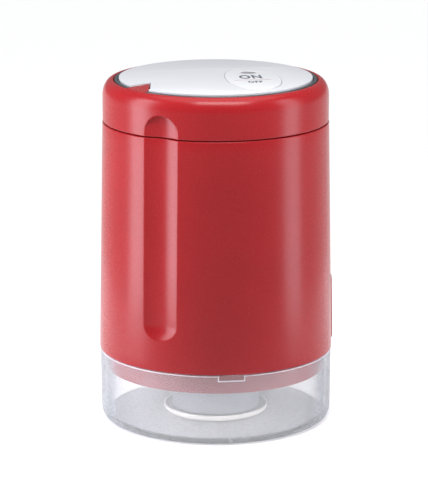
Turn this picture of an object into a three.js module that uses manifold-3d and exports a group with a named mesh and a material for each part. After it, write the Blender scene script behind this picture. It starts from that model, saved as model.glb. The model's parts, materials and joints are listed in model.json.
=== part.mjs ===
// Handheld electric vacuum sealer standing on its storage cup.
// Millimetres, +Z up, front towards -Y, origin at the centre of the cup's underside.
import * as THREE from 'three';
import { mergeVertices } from 'three/addons/utils/BufferGeometryUtils.js';
import Module from 'manifold-3d';

const wasm = await Module();
wasm.setup();

// ---- Driving dimensions ----
const FIT = 0.3;
const BORE_FIT = 0.25;
const THROUGH = 60;
const ROUND = 56;
const MEDIUM_ROUND = 28;
const SMALL_ROUND = 16;
const SCREW_ROUND = 8;

const SCREW_SHANK = 0.9;
const SCREW_HEAD = 1.6;
const SCREW_HEAD_HEIGHT = 1.1;
const SCREW_HOLE = 1.25;
const HEAD_GAP = 0.2;
const BASE_SCREW_BEARINGS = [0, 120, 240];
const BASE_SCREW_LENGTH = 7;
const BOARD_SCREW_BEARINGS = [60, 180, 300];
const BOARD_SCREW_LENGTH = 6;
const NOZZLE_SCREW_LENGTH = 4.4;
const CYLINDER_SCREWS = [[0, -11.9], [0, 11.9]];
const CYLINDER_SCREW_LENGTH = 9;
const FRAME_SCREWS = [[-18.8, 0], [18.8, 0]];
const FRAME_SCREW_LENGTH = 4.6;
const MOTOR_SCREW_X = [-6, 6];
const MOTOR_SCREW_LENGTH = 3.4;

const CUP_HEIGHT = 24.5;
const CUP_RIM_RADIUS = 39.8;
const CUP_BASE_RADIUS = 39.4;
const CUP_FILLET = 3.5;
const CUP_WALL = 1.9;
const CUP_FLOOR = 1.4;
const NOTCH_WIDTH = 9.2;
const NOTCH_HEIGHT = 2.1;
const NOTCH_DEPTH = 0.8;

const SHELL_BOTTOM = CUP_HEIGHT + FIT;
const SHELL_TOP = 103.75;
const SHELL_BOTTOM_RADIUS = 40;
const SHELL_TOP_RADIUS = 38.5;
const SHELL_INNER_BOTTOM = 37;
const SHELL_INNER_TOP = 36.1;
const SPIGOT_BOTTOM = 17.6;
const SPIGOT_RADIUS = 37.3;
const SPIGOT_INNER = 35.1;
const LEDGE_BOTTOM = 21.9;
const LEDGE_RADIUS = 33.6;
const LEDGE_THICKNESS = 2.2;
const LEDGE_CHAMFER_TOP = 26.5;
const TAPER = Math.atan((SHELL_BOTTOM_RADIUS - SHELL_TOP_RADIUS) / (SHELL_TOP - SHELL_BOTTOM));

const CAP_BOTTOM = SHELL_TOP + FIT;
const CAP_TOP = 118;
const CAP_RADIUS = 38.4;
const CAP_EDGE_WIDTH = 3.7;
const CAP_EDGE_HEIGHT = 5.3;
const CAP_MOUTH = 34.7;
const CAP_SPIGOT_INNER = 33.9;
const CAP_LEDGE_RADIUS = 31;
const CAP_LEDGE_BOTTOM = 111;
const CAP_LEDGE_TOP = 113.5;
const CAP_SPIGOT_BOTTOM = 100.5;

const BEZEL_OUTER = 34.4;
const BEZEL_INNER = 33.1;
const BEZEL_TOP = CAP_TOP + 0.1;
const PLATE_RADIUS = 32.8;
const PLATE_THICKNESS = 1.6;
const PLATE_TOP = 118.7;
const PLATE_BOTTOM = PLATE_TOP - PLATE_THICKNESS;

const GROOVE_ANGLE = -36;
const GROOVE_WIDTH = 12.5;
const GROOVE_DEPTH = 1.7;
const GROOVE_BOTTOM = 35.4;
const GROOVE_RUNOUT = 5;
const GROOVE_TOP = 111.6;

const KEY_CENTRE = [11.9, -6];
const KEY_HALF_WIDTH = 9.2;
const KEY_HALF_LENGTH = 20.6;
const KEY_GAP = 0.4;
const KEY_THICKNESS = 2;
const KEY_TOP = PLATE_TOP + 0.1;
const KEY_PIVOT_Z = 114.6;
const KEY_PIN_RADIUS = 0.9;
const KEY_PIN_LENGTH = 16;
const KEY_LUG_X = [-5.5, 5.5];
const KEY_LUG_HALF = [1, 2.2];
const KEY_STEM_HALF = [1.2, 1.5];
const KEY_STEM_LENGTH = 4;
const SWITCH_HALF = [8, 5];
const SWITCH_WELL_HALF = [2, 2.6];
const SWITCH_CHEEK_X = [-7.25, 7.25];
const SWITCH_CHEEK_HALF = [0.75, 2];
const LED_FLANGE_RADIUS = 1.9;
const LED_RADIUS = 1.5;
const LED_HEIGHT = 5.6;
const LENS_OFFSET_Y = 11;
const LENS_RADIUS = 2.4;

const TAB_CORNERS = [[-25.1, -20.5], [-23.6, -9.6], [-30.7, -13.8]];
const TAB_GAP = 0.45;
const TAB_TOP = PLATE_TOP - 0.2;

const JACK_ANGLE = 103;
const JACK_Z = 37.5;
const JACK_COVER_WIDTH = 23;
const JACK_COVER_BOTTOM = 26;
const JACK_COVER_TOP = 48.7;
const JACK_COVER_PROUD = 0.6;
const JACK_POCKET_DEPTH = 1.5;
const JACK_HOLE = 3.4;
const JACK_PLUG_RADIUS = 2.4;
const JACK_PLUG_INNER = 36.6;
const JACK_SOCKET_BACK = 27.5;
const JACK_SOCKET_FRONT = 36.2;
const JACK_SOCKET_HALF = [4.6, 5];
const JACK_SOCKET_BORE = 2.9;
const JACK_PIN_RADIUS = 0.8;

const BASE_PLATE_RADIUS = 34.8;
const BASE_PLATE_BOTTOM = 19;
const BASE_PLATE_THICKNESS = 2.6;
const BASE_PLATE_TOP = BASE_PLATE_BOTTOM + BASE_PLATE_THICKNESS;
const BOSS_CIRCLE = 32.4;
const BOSS_RADIUS = 3.6;
const BOSS_TOP = 28.4;

const NOZZLE_RADIUS = 15.1;
const NOZZLE_BORE = 12.6;
const NOZZLE_DECK = 16.7;
const NOZZLE_STUB = 3.4;
const NOZZLE_STUB_TOP = 24.6;
const NOZZLE_PASSAGE = 1.6;
const NOZZLE_SCREW_CIRCLE = 8;
const O_RING_SEAT = 2.4;
const O_RING_DEPTH = 1.1;
const O_RING_WIRE = 0.45;
const GASKET_RADIUS = 17.9;
const GASKET_BOTTOM = CUP_FLOOR + 0.5;
const GASKET_WALL = 1.3;
const GASKET_LIP = 2.1;
const GASKET_COLLAR = 5;
const GASKET_COLLAR_WALL = 1.1;
const NOZZLE_MOUTH = GASKET_BOTTOM + GASKET_WALL + FIT;
const FILTER_BOTTOM = 12;
const FILTER_THICKNESS = 1.6;

const STROKE = 6;
const CYLINDER_BORE = 8;
const CYLINDER_OUTER = 9.8;
const CYLINDER_BOTTOM = 27.2;
const CYLINDER_TOP = 46;
const FLANGE_RADIUS = 13.8;
const FLANGE_THICKNESS = 2.2;
const VALVE_TOP = CYLINDER_BOTTOM - FIT;
const VALVE_POCKET = 0.9;
const VALVE_THICKNESS = 0.4;
const INTAKE_VALVE_RADIUS = 3;
const EXHAUST_VALVE_RADIUS = 1.5;
const PISTON_MID_Z = 36;
const PISTON_GAP = 0.9;
const PISTON_THICKNESS = 2.4;
const SEAL_HUB = 2.3;
const SEAL_LIP_RADIUS = 7.8;
const EYE_CLEARANCE = 0.5;
const EYE_WALL = 2;
const CRANK_Z = 64;
const CRANK_PIN_RADIUS = 1.2;
const CRANK_AXLE_RADIUS = 1.3;
const ROD_THICKNESS = 4;

const GEAR_MODULE = 0.6;
const GEAR_TEETH = 36;
const PINION_TEETH = 12;
const GEAR_Y = 4.5;
const GEAR_WIDTH = 4;
const GEAR_ADDENDUM = 0.8;
const GEAR_DEDENDUM = 1.15;
const GEAR_WINDOWS = [60, 120, 180, 240, 300];
const GEAR_WINDOW_CIRCLE = 6.6;
const GEAR_WINDOW_RADIUS = 1.9;
const MOTOR_Z = CRANK_Z + GEAR_MODULE * (GEAR_TEETH + PINION_TEETH) / 2;
const MOTOR_RADIUS = 10.2;
const MOTOR_FRONT = 11.6;
const MOTOR_LENGTH = 19;
const MOTOR_WALL = 0.8;
const MOTOR_SHAFT_RADIUS = 1;
const MAGNET_INNER = 7.6;
const MAGNET_SPAN = 110;
const MAGNET_INSET = 3.4;
const ARMATURE_RADIUS = 7.2;
const ARMATURE_SHOE = 5.9;
const ARMATURE_HUB = 3;
const ARMATURE_INSET = 5;
const EXHAUST_TURN = 45;
const EXHAUST_REACH = 6.5;
const EXHAUST_Z = 24.2;
const FRAME_PLATE_Y = 9.2;
const FRAME_PLATE_THICKNESS = 2;
const SHELF_Z = 46.4;
const SHELF_THICKNESS = 2;
const FRAME_HALF_WIDTH = 16.1;
const FRAME_LEG_INNER = 14.1;
const FRAME_LEG_HALF = 5;
const FRAME_FOOT_REACH = 21.5;
const FRAME_FOOT_HALF = 3.5;
const FRAME_GUSSET = 9;

const CELL_RADIUS = 9.2;
const CELL_LENGTH = 64;
const CELL_BOTTOM = 29.5;
const CELL_CHAMFER = 0.6;
const CELL_BUTTON = [3, 0.8];
const HOLDER_GAP = 0.3;
const HOLDER_WALL = 1;
const HOLDER_FLOOR = 2;
const HOLDER_TOP_ROOM = 1.1;
const HOLDER_HALF_WIDTH = 5.5;
const CELL_PLACES = { left: [-24.5, -11], right: [24.5, -11] };

const BOARD_RADIUS = 30;
const BOARD_BOTTOM = 104.6;
const BOARD_THICKNESS = 1.6;
const BOARD_TOP = BOARD_BOTTOM + BOARD_THICKNESS;
const BOARD_SCREW_CIRCLE = 27.5;
const POST_RADIUS = 2.8;
const POST_RIB_CIRCLE = 31.5;

// ---- Finishes ----
const finish = (color, roughness, metalness = 0) => ({ color, roughness, metalness });
const RED = finish(0xb02a2a, 0.35);
const FROST = finish(0xc8cbd6, 0.5);
const DARK = finish(0x324144, 0.4);
const PALE = finish(0xd5d9de, 0.25);
const GREY = finish(0x8d9096, 0.45);
const WHITE_RUBBER = finish(0xe8e6e2, 0.6);
const BLACK = finish(0x1d1d1f, 0.5);
const STEEL = finish(0x9fa3a8, 0.3, 1);
const BRASS = finish(0xb59a52, 0.35, 1);
const GREEN_BOARD = finish(0x1e5b3a, 0.5);
const NYLON = finish(0xd9d4c4, 0.5);
const LIGHT = finish(0x9d9c96, 0.2);
const CELL_BLUE = finish(0x2f5f8f, 0.4);

// ---- Solid helpers ----
function weld(geometry) {
  const bare = geometry.clone();
  bare.deleteAttribute('normal');
  bare.deleteAttribute('uv');
  return mergeVertices(bare, 1e-4);
}

function solid(geometry) {
  const welded = weld(geometry);
  const index = welded.index.array;
  const triangles = [];
  for (let i = 0; i < index.length; i += 3) {
    const [a, b, c] = [index[i], index[i + 1], index[i + 2]];
    if (a !== b && b !== c && c !== a) triangles.push(a, b, c);
  }
  return new wasm.Manifold(new wasm.Mesh({
    numProp: 3,
    vertProperties: new Float32Array(welded.attributes.position.array),
    triVerts: new Uint32Array(triangles),
  }));
}

function toGeometry(body) {
  const mesh = body.getMesh();
  const geometry = new THREE.BufferGeometry();
  geometry.setAttribute('position', new THREE.BufferAttribute(mesh.vertProperties, 3));
  geometry.setIndex(new THREE.BufferAttribute(mesh.triVerts, 1));
  return geometry;
}

const cut = (first, ...rest) => rest.reduce((left, tool) => left.subtract(tool), first);
const join = (first, ...rest) => rest.reduce((left, more) => left.add(more), first);
const common = (first, second) => first.intersect(second);

function disc(radius, bottom, top, x = 0, y = 0, segments = SMALL_ROUND) {
  const geometry = new THREE.CylinderGeometry(radius, radius, top - bottom, segments);
  return solid(geometry.rotateX(Math.PI / 2).translate(x, y, (bottom + top) / 2));
}

function box(xRange, yRange, zRange) {
  const ranges = [xRange, yRange, zRange];
  const sizes = ranges.map(([low, high]) => high - low);
  const centres = ranges.map(([low, high]) => (low + high) / 2);
  return solid(new THREE.BoxGeometry(...sizes).translate(...centres));
}

// A profile is a list of [radius, height] points: outwards along the bottom and back along the top.
function turned(profile, segments = ROUND) {
  const points = profile.map(([radius, height]) => new THREE.Vector2(radius, height));
  if (profile[0][0] > 0) points.push(points[0].clone());
  return solid(new THREE.LatheGeometry(points, segments).rotateX(Math.PI / 2));
}

function quarterArc(centre, radii, fromDegrees, toDegrees, steps) {
  const points = [];
  for (let i = 0; i <= steps; i += 1) {
    const angle = THREE.MathUtils.degToRad(fromDegrees + (toDegrees - fromDegrees) * i / steps);
    points.push([centre[0] + radii[0] * Math.cos(angle), centre[1] + radii[1] * Math.sin(angle)]);
  }
  return points;
}

function shapeFrom(corners) {
  return new THREE.Shape(corners.map(([x, y]) => new THREE.Vector2(x, y)));
}

function prism(shape, bottom, top, curveSegments = 12) {
  const geometry = new THREE.ExtrudeGeometry(shape, {
    depth: top - bottom,
    bevelEnabled: false,
    curveSegments,
  });
  return solid(geometry.translate(0, 0, bottom));
}

function ellipsePrism(centre, halfWidth, halfLength, bottom, top, segments = 36) {
  const shape = new THREE.Shape();
  shape.absellipse(centre[0], centre[1], halfWidth, halfLength, 0, 2 * Math.PI);
  return prism(shape, bottom, top, segments);
}

function ringSector(inner, outer, fromDegrees, toDegrees, bottom, top, steps = 12) {
  const corners = [
    ...quarterArc([0, 0], [outer, outer], fromDegrees, toDegrees, steps),
    ...quarterArc([0, 0], [inner, inner], toDegrees, fromDegrees, steps),
  ];
  return prism(shapeFrom(corners), bottom, top);
}

// Bearings are degrees from the front (-Y) towards +X.
const bearing = (degrees) => THREE.MathUtils.degToRad(degrees);
const atBearing = (degrees, radius) => [
  radius * Math.sin(bearing(degrees)),
  -radius * Math.cos(bearing(degrees)),
];

// Turns a solid built with +X as "outwards" so that outwards points along a bearing.
const faceBearing = (body, degrees) => body.rotate([0, 0, degrees - 90]);

function mesh(name, body, look) {
  const part = new THREE.Mesh(toGeometry(body), new THREE.MeshStandardMaterial(look));
  part.name = name;
  return part;
}

function place(part, x, y, z) {
  part.position.set(x, y, z);
  return part;
}

// A pan-head screw whose head seats at the origin with its shank along -Z.
function screw(name, length) {
  const body = turned([
    [0, -length],
    [SCREW_SHANK, -length],
    [SCREW_SHANK, 0],
    [SCREW_HEAD, 0],
    [SCREW_HEAD * 0.8, SCREW_HEAD_HEIGHT],
    [0, SCREW_HEAD_HEIGHT],
  ], SCREW_ROUND);
  return mesh(name, body, STEEL);
}

// The same screw pointing up, with its head below the face it holds.
function screwFromBelow(name, length, [x, y], z) {
  const part = screw(name, length);
  part.rotation.x = Math.PI;
  return place(part, x, y, z - HEAD_GAP);
}

// Cuts vertical screw holes at a list of points.
function drill(body, points, bottom = -THROUGH, top = THROUGH) {
  return points.reduce((left, [x, y]) => cut(left, disc(SCREW_HOLE, bottom, top, x, y, SCREW_ROUND)), body);
}

// Points at the given bearings round a circle.
const ringOf = (bearings, radius) => bearings.map((degrees) => atBearing(degrees, radius));

// A box centred on a point in plan, from half sizes.
function post([x, y], [halfX, halfY], zRange) {
  return box([x - halfX, x + halfX], [y - halfY, y + halfY], zRange);
}

// ---- Stand cup ----
function standCup() {
  const outer = CUP_BASE_RADIUS - CUP_FILLET;
  const inner = CUP_BASE_RADIUS - CUP_WALL;
  const innerFillet = CUP_FILLET - CUP_WALL * 0.6;
  const outside = turned([
    [0, 0],
    ...quarterArc([outer, CUP_FILLET], [CUP_FILLET, CUP_FILLET], -90, 0, 4),
    [CUP_RIM_RADIUS, CUP_HEIGHT],
    [0, CUP_HEIGHT],
  ]);
  const inside = turned([
    [0, CUP_FLOOR],
    ...quarterArc([inner - innerFillet, CUP_FLOOR + innerFillet], [innerFillet, innerFillet], -90, 0, 3),
    [CUP_RIM_RADIUS - CUP_WALL, CUP_HEIGHT],
    [CUP_RIM_RADIUS - CUP_WALL, CUP_HEIGHT + 1],
    [0, CUP_HEIGHT + 1],
  ]);
  const notch = box(
    [-NOTCH_WIDTH / 2, NOTCH_WIDTH / 2],
    [-CUP_RIM_RADIUS - 1, -CUP_RIM_RADIUS + NOTCH_DEPTH],
    [CUP_HEIGHT - NOTCH_HEIGHT, CUP_HEIGHT + 1],
  );
  return mesh('stand_cup', cut(outside, inside, notch), FROST);
}

// ---- Grip groove, shared by the shell and the cap ----
function gripGroove() {
  const surface = SHELL_BOTTOM_RADIUS;
  const half = GROOVE_WIDTH / 2;
  const edge = surface - Math.sqrt(surface ** 2 - half ** 2);
  const sagitta = GROOVE_DEPTH - edge;
  const round = (half ** 2 + sagitta ** 2) / (2 * sagitta);
  const start = round - GROOVE_DEPTH;
  const profile = [[0, 0]];
  const steps = 6;
  for (let i = 0; i <= steps; i += 1) {
    const t = i / steps;
    profile.push([start + GROOVE_DEPTH * (1 - (1 - t) ** 2), GROOVE_RUNOUT * t]);
  }
  profile.push([round, GROOVE_TOP + 10 - GROOVE_BOTTOM], [0, GROOVE_TOP + 10 - GROOVE_BOTTOM]);
  const scoop = turned(profile, 72).translate([surface + start, 0, GROOVE_BOTTOM]);
  const outline = new THREE.Shape();
  const archCentre = GROOVE_TOP - half;
  outline.moveTo(-half, 0);
  outline.lineTo(half, 0);
  outline.lineTo(half, archCentre);
  outline.absarc(0, archCentre, half, 0, Math.PI, false);
  const window = prism(outline, 0, surface + 10, 10).rotate([90, 0, 90]);
  const lean = -THREE.MathUtils.radToDeg(TAPER);
  const leaning = scoop.translate([0, 0, -SHELL_BOTTOM]).rotate([0, lean, 0]);
  return faceBearing(common(leaning.translate([0, 0, SHELL_BOTTOM]), window), GROOVE_ANGLE);
}

const groove = gripGroove();

function shellRadius(z) {
  return SHELL_BOTTOM_RADIUS - (z - SHELL_BOTTOM) * Math.tan(TAPER);
}

// ---- Jack cover, its pocket and its socket ----
function jackBlock(extra, inner, proud) {
  const half = JACK_COVER_WIDTH / 2 + extra;
  const low = JACK_COVER_BOTTOM - extra;
  const high = JACK_COVER_TOP + extra;
  const band = turned([
    [shellRadius(low) - inner, low],
    [shellRadius(low) + proud, low],
    [shellRadius(high) + proud, high],
    [shellRadius(high) - inner, high],
  ], ROUND);
  const window = box([0, 60], [-half, half], [low - 1, high + 1]);
  return faceBearing(common(band, window), JACK_ANGLE);
}

function jackBore(radius, from, to) {
  const bore = disc(radius, from, to).rotate([0, 90, 0]).translate([0, 0, JACK_Z]);
  return faceBearing(bore, JACK_ANGLE);
}

function jackCover() {
  const panel = jackBlock(0, JACK_POCKET_DEPTH - FIT, JACK_COVER_PROUD);
  const plug = jackBore(JACK_PLUG_RADIUS, JACK_PLUG_INNER, SHELL_BOTTOM_RADIUS - 1);
  return mesh('jack_cover', join(panel, plug), RED);
}

function jackSocket() {
  const [halfWidth, halfHeight] = JACK_SOCKET_HALF;
  const block = faceBearing(box(
    [JACK_SOCKET_BACK, JACK_SOCKET_FRONT],
    [-halfWidth, halfWidth],
    [JACK_Z - halfHeight, JACK_Z + halfHeight],
  ), JACK_ANGLE);
  const bore = jackBore(JACK_SOCKET_BORE, JACK_SOCKET_BACK + 1.5, JACK_SOCKET_FRONT + 4);
  const pin = jackBore(JACK_PIN_RADIUS, JACK_SOCKET_BACK + 1.3, JACK_SOCKET_FRONT - 1.7);
  return mesh('jack_socket', join(cut(block, bore), pin), BLACK);
}

// ---- Housing ----
function bodyShell() {
  const outside = turned([
    [SPIGOT_INNER, SPIGOT_BOTTOM],
    [SPIGOT_RADIUS, SPIGOT_BOTTOM],
    [SPIGOT_RADIUS, SHELL_BOTTOM],
    [SHELL_BOTTOM_RADIUS, SHELL_BOTTOM],
    [SHELL_TOP_RADIUS, SHELL_TOP],
    [SHELL_INNER_TOP, SHELL_TOP],
    [SHELL_INNER_BOTTOM, LEDGE_CHAMFER_TOP],
    [LEDGE_RADIUS, LEDGE_BOTTOM + LEDGE_THICKNESS],
    [LEDGE_RADIUS, LEDGE_BOTTOM],
    [SPIGOT_INNER, LEDGE_BOTTOM],
  ]);
  const centres = ringOf(BASE_SCREW_BEARINGS, BOSS_CIRCLE);
  const bosses = centres.map(([x, y]) => disc(BOSS_RADIUS, LEDGE_BOTTOM, BOSS_TOP, x, y));
  const shell = drill(join(outside, ...bosses), centres, LEDGE_BOTTOM - 1, BOSS_TOP - 1);
  const pocket = jackBlock(FIT, JACK_POCKET_DEPTH, 4);
  const hole = jackBore(JACK_HOLE, JACK_SOCKET_FRONT - 2.2, SHELL_BOTTOM_RADIUS + 2);
  return mesh('body_shell', cut(shell, groove, pocket, hole), RED);
}

function topCap() {
  const edge = quarterArc(
    [CAP_RADIUS - CAP_EDGE_WIDTH, CAP_TOP - CAP_EDGE_HEIGHT],
    [CAP_EDGE_WIDTH, CAP_EDGE_HEIGHT], 0, 90, 4,
  );
  let cap = turned([
    [CAP_SPIGOT_INNER, CAP_SPIGOT_BOTTOM],
    [SHELL_INNER_TOP - FIT, CAP_SPIGOT_BOTTOM],
    [SHELL_INNER_TOP - FIT, CAP_BOTTOM],
    [CAP_RADIUS, CAP_BOTTOM],
    ...edge,
    [CAP_MOUTH, CAP_LEDGE_TOP],
    [CAP_LEDGE_RADIUS, CAP_LEDGE_TOP],
    [CAP_LEDGE_RADIUS, CAP_LEDGE_BOTTOM],
    [CAP_SPIGOT_INNER, CAP_LEDGE_BOTTOM],
  ]);
  const centres = ringOf(BOARD_SCREW_BEARINGS, BOARD_SCREW_CIRCLE);
  const posts = centres.map(([x, y]) => disc(POST_RADIUS, BOARD_TOP + FIT, CAP_LEDGE_TOP, x, y));
  const ribs = ringOf(BOARD_SCREW_BEARINGS, POST_RIB_CIRCLE)
    .map(([x, y]) => disc(POST_RADIUS, CAP_LEDGE_BOTTOM, CAP_LEDGE_TOP, x, y));
  cap = drill(join(cap, ...posts, ...ribs), centres, BOARD_BOTTOM, CAP_LEDGE_TOP - 1);
  const tab = prism(shapeFrom(TAB_CORNERS), PLATE_BOTTOM, TAB_TOP);
  const bridge = prism(shapeFrom(tabBridge(0)), PLATE_BOTTOM, TAB_TOP);
  return mesh('top_cap', join(cut(cap, groove), tab, bridge), RED);
}

// The strip that carries the index tab across the bezel ring to the cap's rim.
function tabBridge(extra) {
  const [first, , last] = TAB_CORNERS;
  const reach = (CAP_MOUTH + 0.6) / Math.hypot(...first);
  const lastReach = (CAP_MOUTH + 0.6) / Math.hypot(...last);
  const grow = ([x, y], sign) => [x - sign * extra * 0.55, y + sign * extra * 0.8];
  return [
    grow(first, -1),
    grow(last, 1),
    grow([last[0] * lastReach, last[1] * lastReach], 1),
    grow([first[0] * reach, first[1] * reach], -1),
  ];
}

// The tab's outline grown on every side by a gap.
function tabOpening(gap, bottom, top) {
  const centre = [0, 1].map((axis) => TAB_CORNERS.reduce((sum, corner) => sum + corner[axis], 0) / 3);
  const grown = TAB_CORNERS.map((corner) => {
    const away = [corner[0] - centre[0], corner[1] - centre[1]];
    const scale = 1 + 2 * gap / Math.hypot(...away);
    return [centre[0] + away[0] * scale, centre[1] + away[1] * scale];
  });
  return join(prism(shapeFrom(grown), bottom, top), prism(shapeFrom(tabBridge(gap)), bottom, top));
}

function bezelRing() {
  const foot = CAP_LEDGE_TOP + FIT;
  const ring = turned([
    [CAP_LEDGE_RADIUS, foot],
    [BEZEL_OUTER, foot],
    [BEZEL_OUTER, BEZEL_TOP],
    [BEZEL_INNER, BEZEL_TOP],
    [BEZEL_INNER, PLATE_BOTTOM - FIT],
    [CAP_LEDGE_RADIUS, PLATE_BOTTOM - FIT],
  ]);
  const passage = tabOpening(TAB_GAP, PLATE_BOTTOM - FIT, PLATE_TOP + 1);
  return mesh('bezel_ring', cut(ring, passage), DARK);
}

function topPlate() {
  const plate = disc(PLATE_RADIUS, PLATE_BOTTOM, PLATE_TOP, 0, 0, ROUND);
  const keyHole = ellipsePrism(
    KEY_CENTRE, KEY_HALF_WIDTH + KEY_GAP, KEY_HALF_LENGTH + KEY_GAP, PLATE_BOTTOM - 1, PLATE_TOP + 1,
  );
  const notch = tabOpening(TAB_GAP, PLATE_BOTTOM - 1, PLATE_TOP + 1);
  return mesh('top_plate', cut(plate, keyHole, notch), PALE);
}

// ---- Rocker key, light and board ----
const besideKey = (offset) => [KEY_CENTRE[0] + offset, KEY_CENTRE[1]];

// A bar along the key's rocking axis.
function keyAxle(radius, length) {
  const bar = disc(radius, -length / 2, length / 2, 0, 0, SCREW_ROUND);
  return bar.rotate([0, 90, 0]).translate([...KEY_CENTRE, KEY_PIVOT_Z]);
}

function rockerKey() {
  const [x, y] = KEY_CENTRE;
  const bottom = KEY_TOP - KEY_THICKNESS;
  const face = ellipsePrism(KEY_CENTRE, KEY_HALF_WIDTH, KEY_HALF_LENGTH, bottom, KEY_TOP);
  const stem = post(KEY_CENTRE, KEY_STEM_HALF, [KEY_PIVOT_Z - KEY_STEM_LENGTH, bottom + 1]);
  const lugs = KEY_LUG_X.map((offset) => post(
    besideKey(offset), KEY_LUG_HALF, [KEY_PIVOT_Z - KEY_LUG_HALF[1], bottom + 1],
  ));
  const pinHole = keyAxle(KEY_PIN_RADIUS + BORE_FIT, KEY_PIN_LENGTH + 2);
  const lensHole = disc(LENS_RADIUS + 0.15, bottom - 1, KEY_TOP + 1, x, y + LENS_OFFSET_Y);
  return mesh('rocker_key', cut(join(face, stem, ...lugs), pinHole, lensHole), PALE);
}

function keyLens() {
  const [x, y] = KEY_CENTRE;
  const lens = disc(LENS_RADIUS, KEY_TOP - KEY_THICKNESS, KEY_TOP, x, y + LENS_OFFSET_Y, MEDIUM_ROUND);
  return mesh('key_lens', lens, LIGHT);
}

function rockerPivotPin() {
  return mesh('rocker_pivot_pin', keyAxle(KEY_PIN_RADIUS, KEY_PIN_LENGTH), STEEL);
}

function rockerSwitch() {
  const bottom = BOARD_TOP + FIT;
  const [lugX, lugY] = KEY_LUG_HALF;
  const body = post(KEY_CENTRE, SWITCH_HALF, [bottom, KEY_PIVOT_Z - 3]);
  const well = post(KEY_CENTRE, SWITCH_WELL_HALF, [KEY_PIVOT_Z - KEY_STEM_LENGTH - 1.2, KEY_PIVOT_Z]);
  const cheeks = SWITCH_CHEEK_X.map((offset) => post(
    besideKey(offset), SWITCH_CHEEK_HALF, [bottom, KEY_PIVOT_Z + 1.4],
  ));
  const lugRoom = KEY_LUG_X.map((offset) => post(
    besideKey(offset), [lugX + 0.4, lugY + 0.6], [KEY_PIVOT_Z - lugY - 1, KEY_PIVOT_Z],
  ));
  const pinHole = keyAxle(KEY_PIN_RADIUS + 0.1, KEY_PIN_LENGTH + 2);
  return mesh('rocker_switch', cut(join(body, ...cheeks), well, pinHole, ...lugRoom), BLACK);
}

function statusLed() {
  const [x, y] = KEY_CENTRE;
  const led = turned([
    [0, 0],
    [LED_FLANGE_RADIUS, 0],
    [LED_FLANGE_RADIUS, 0.8],
    [LED_RADIUS, 0.8],
    ...quarterArc([0, LED_HEIGHT], [LED_RADIUS, LED_RADIUS], 0, 90, 4),
  ], SMALL_ROUND);
  return place(mesh('status_led', led, LIGHT), x, y + LENS_OFFSET_Y, BOARD_TOP + FIT);
}

function controlBoard() {
  const board = disc(BOARD_RADIUS, BOARD_BOTTOM, BOARD_TOP, 0, 0, MEDIUM_ROUND);
  const holes = ringOf(BOARD_SCREW_BEARINGS, BOARD_SCREW_CIRCLE);
  return mesh('control_board', drill(board, holes, BOARD_BOTTOM - 1, BOARD_TOP + 1), GREEN_BOARD);
}

function boardScrews() {
  return ringOf(BOARD_SCREW_BEARINGS, BOARD_SCREW_CIRCLE).map((point, i) => screwFromBelow(
    `board_screw_${i + 1}`, BOARD_SCREW_LENGTH, point, BOARD_BOTTOM,
  ));
}

// ---- Base plate and nozzle ----
function basePlate() {
  const disk = disc(BASE_PLATE_RADIUS, BASE_PLATE_BOTTOM, BASE_PLATE_TOP, 0, 0, ROUND);
  const plate = cut(disk, disc(NOZZLE_STUB + BORE_FIT, 0, THROUGH));
  const holes = [
    ...ringOf(BASE_SCREW_BEARINGS, BOSS_CIRCLE),
    ...ringOf(BASE_SCREW_BEARINGS, NOZZLE_SCREW_CIRCLE),
    ...CYLINDER_SCREWS,
    ...FRAME_SCREWS,
  ];
  return mesh('base_plate', drill(plate, holes), GREY);
}

function baseScrews() {
  return ringOf(BASE_SCREW_BEARINGS, BOSS_CIRCLE).map((point, i) => screwFromBelow(
    `base_screw_${i + 1}`, BASE_SCREW_LENGTH, point, BASE_PLATE_BOTTOM,
  ));
}

function suctionNozzle() {
  const deckTop = BASE_PLATE_BOTTOM - FIT;
  const nozzle = turned([
    [0, NOZZLE_DECK],
    [NOZZLE_BORE, NOZZLE_DECK],
    [NOZZLE_BORE, NOZZLE_MOUTH],
    [NOZZLE_RADIUS, NOZZLE_MOUTH],
    [NOZZLE_RADIUS, deckTop],
    [NOZZLE_STUB + O_RING_SEAT, deckTop],
    [NOZZLE_STUB + O_RING_SEAT, deckTop - O_RING_DEPTH],
    [NOZZLE_STUB, deckTop - O_RING_DEPTH],
    [NOZZLE_STUB, NOZZLE_STUB_TOP],
    [0, NOZZLE_STUB_TOP],
  ], MEDIUM_ROUND);
  const holes = ringOf(BASE_SCREW_BEARINGS, NOZZLE_SCREW_CIRCLE);
  return mesh('suction_nozzle', drill(cut(nozzle, disc(NOZZLE_PASSAGE, 0, THROUGH)), holes), GREY);
}

function nozzleScrews() {
  return ringOf(BASE_SCREW_BEARINGS, NOZZLE_SCREW_CIRCLE).map((point, i) => screwFromBelow(
    `nozzle_screw_${i + 1}`, NOZZLE_SCREW_LENGTH, point, NOZZLE_DECK,
  ));
}

function torus(name, ringRadius, wireRadius, look) {
  const profile = quarterArc([ringRadius, 0], [wireRadius, wireRadius], -90, 270, 8).slice(0, -1);
  return mesh(name, turned(profile, SMALL_ROUND), look);
}

function nozzleGasket() {
  const bottom = GASKET_BOTTOM;
  const collar = NOZZLE_BORE - FIT;
  const gasket = turned([
    [collar - GASKET_COLLAR_WALL, bottom],
    [GASKET_RADIUS - 1, bottom],
    [GASKET_RADIUS - 0.1, bottom + 0.8],
    [GASKET_RADIUS, bottom + GASKET_LIP],
    [GASKET_RADIUS - 0.7, bottom + GASKET_LIP],
    [GASKET_RADIUS - GASKET_WALL, bottom + GASKET_WALL],
    [collar, bottom + GASKET_WALL],
    [collar, bottom + GASKET_COLLAR],
    [collar - GASKET_COLLAR_WALL, bottom + GASKET_COLLAR],
  ], MEDIUM_ROUND);
  return mesh('nozzle_gasket', gasket, WHITE_RUBBER);
}

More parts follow.
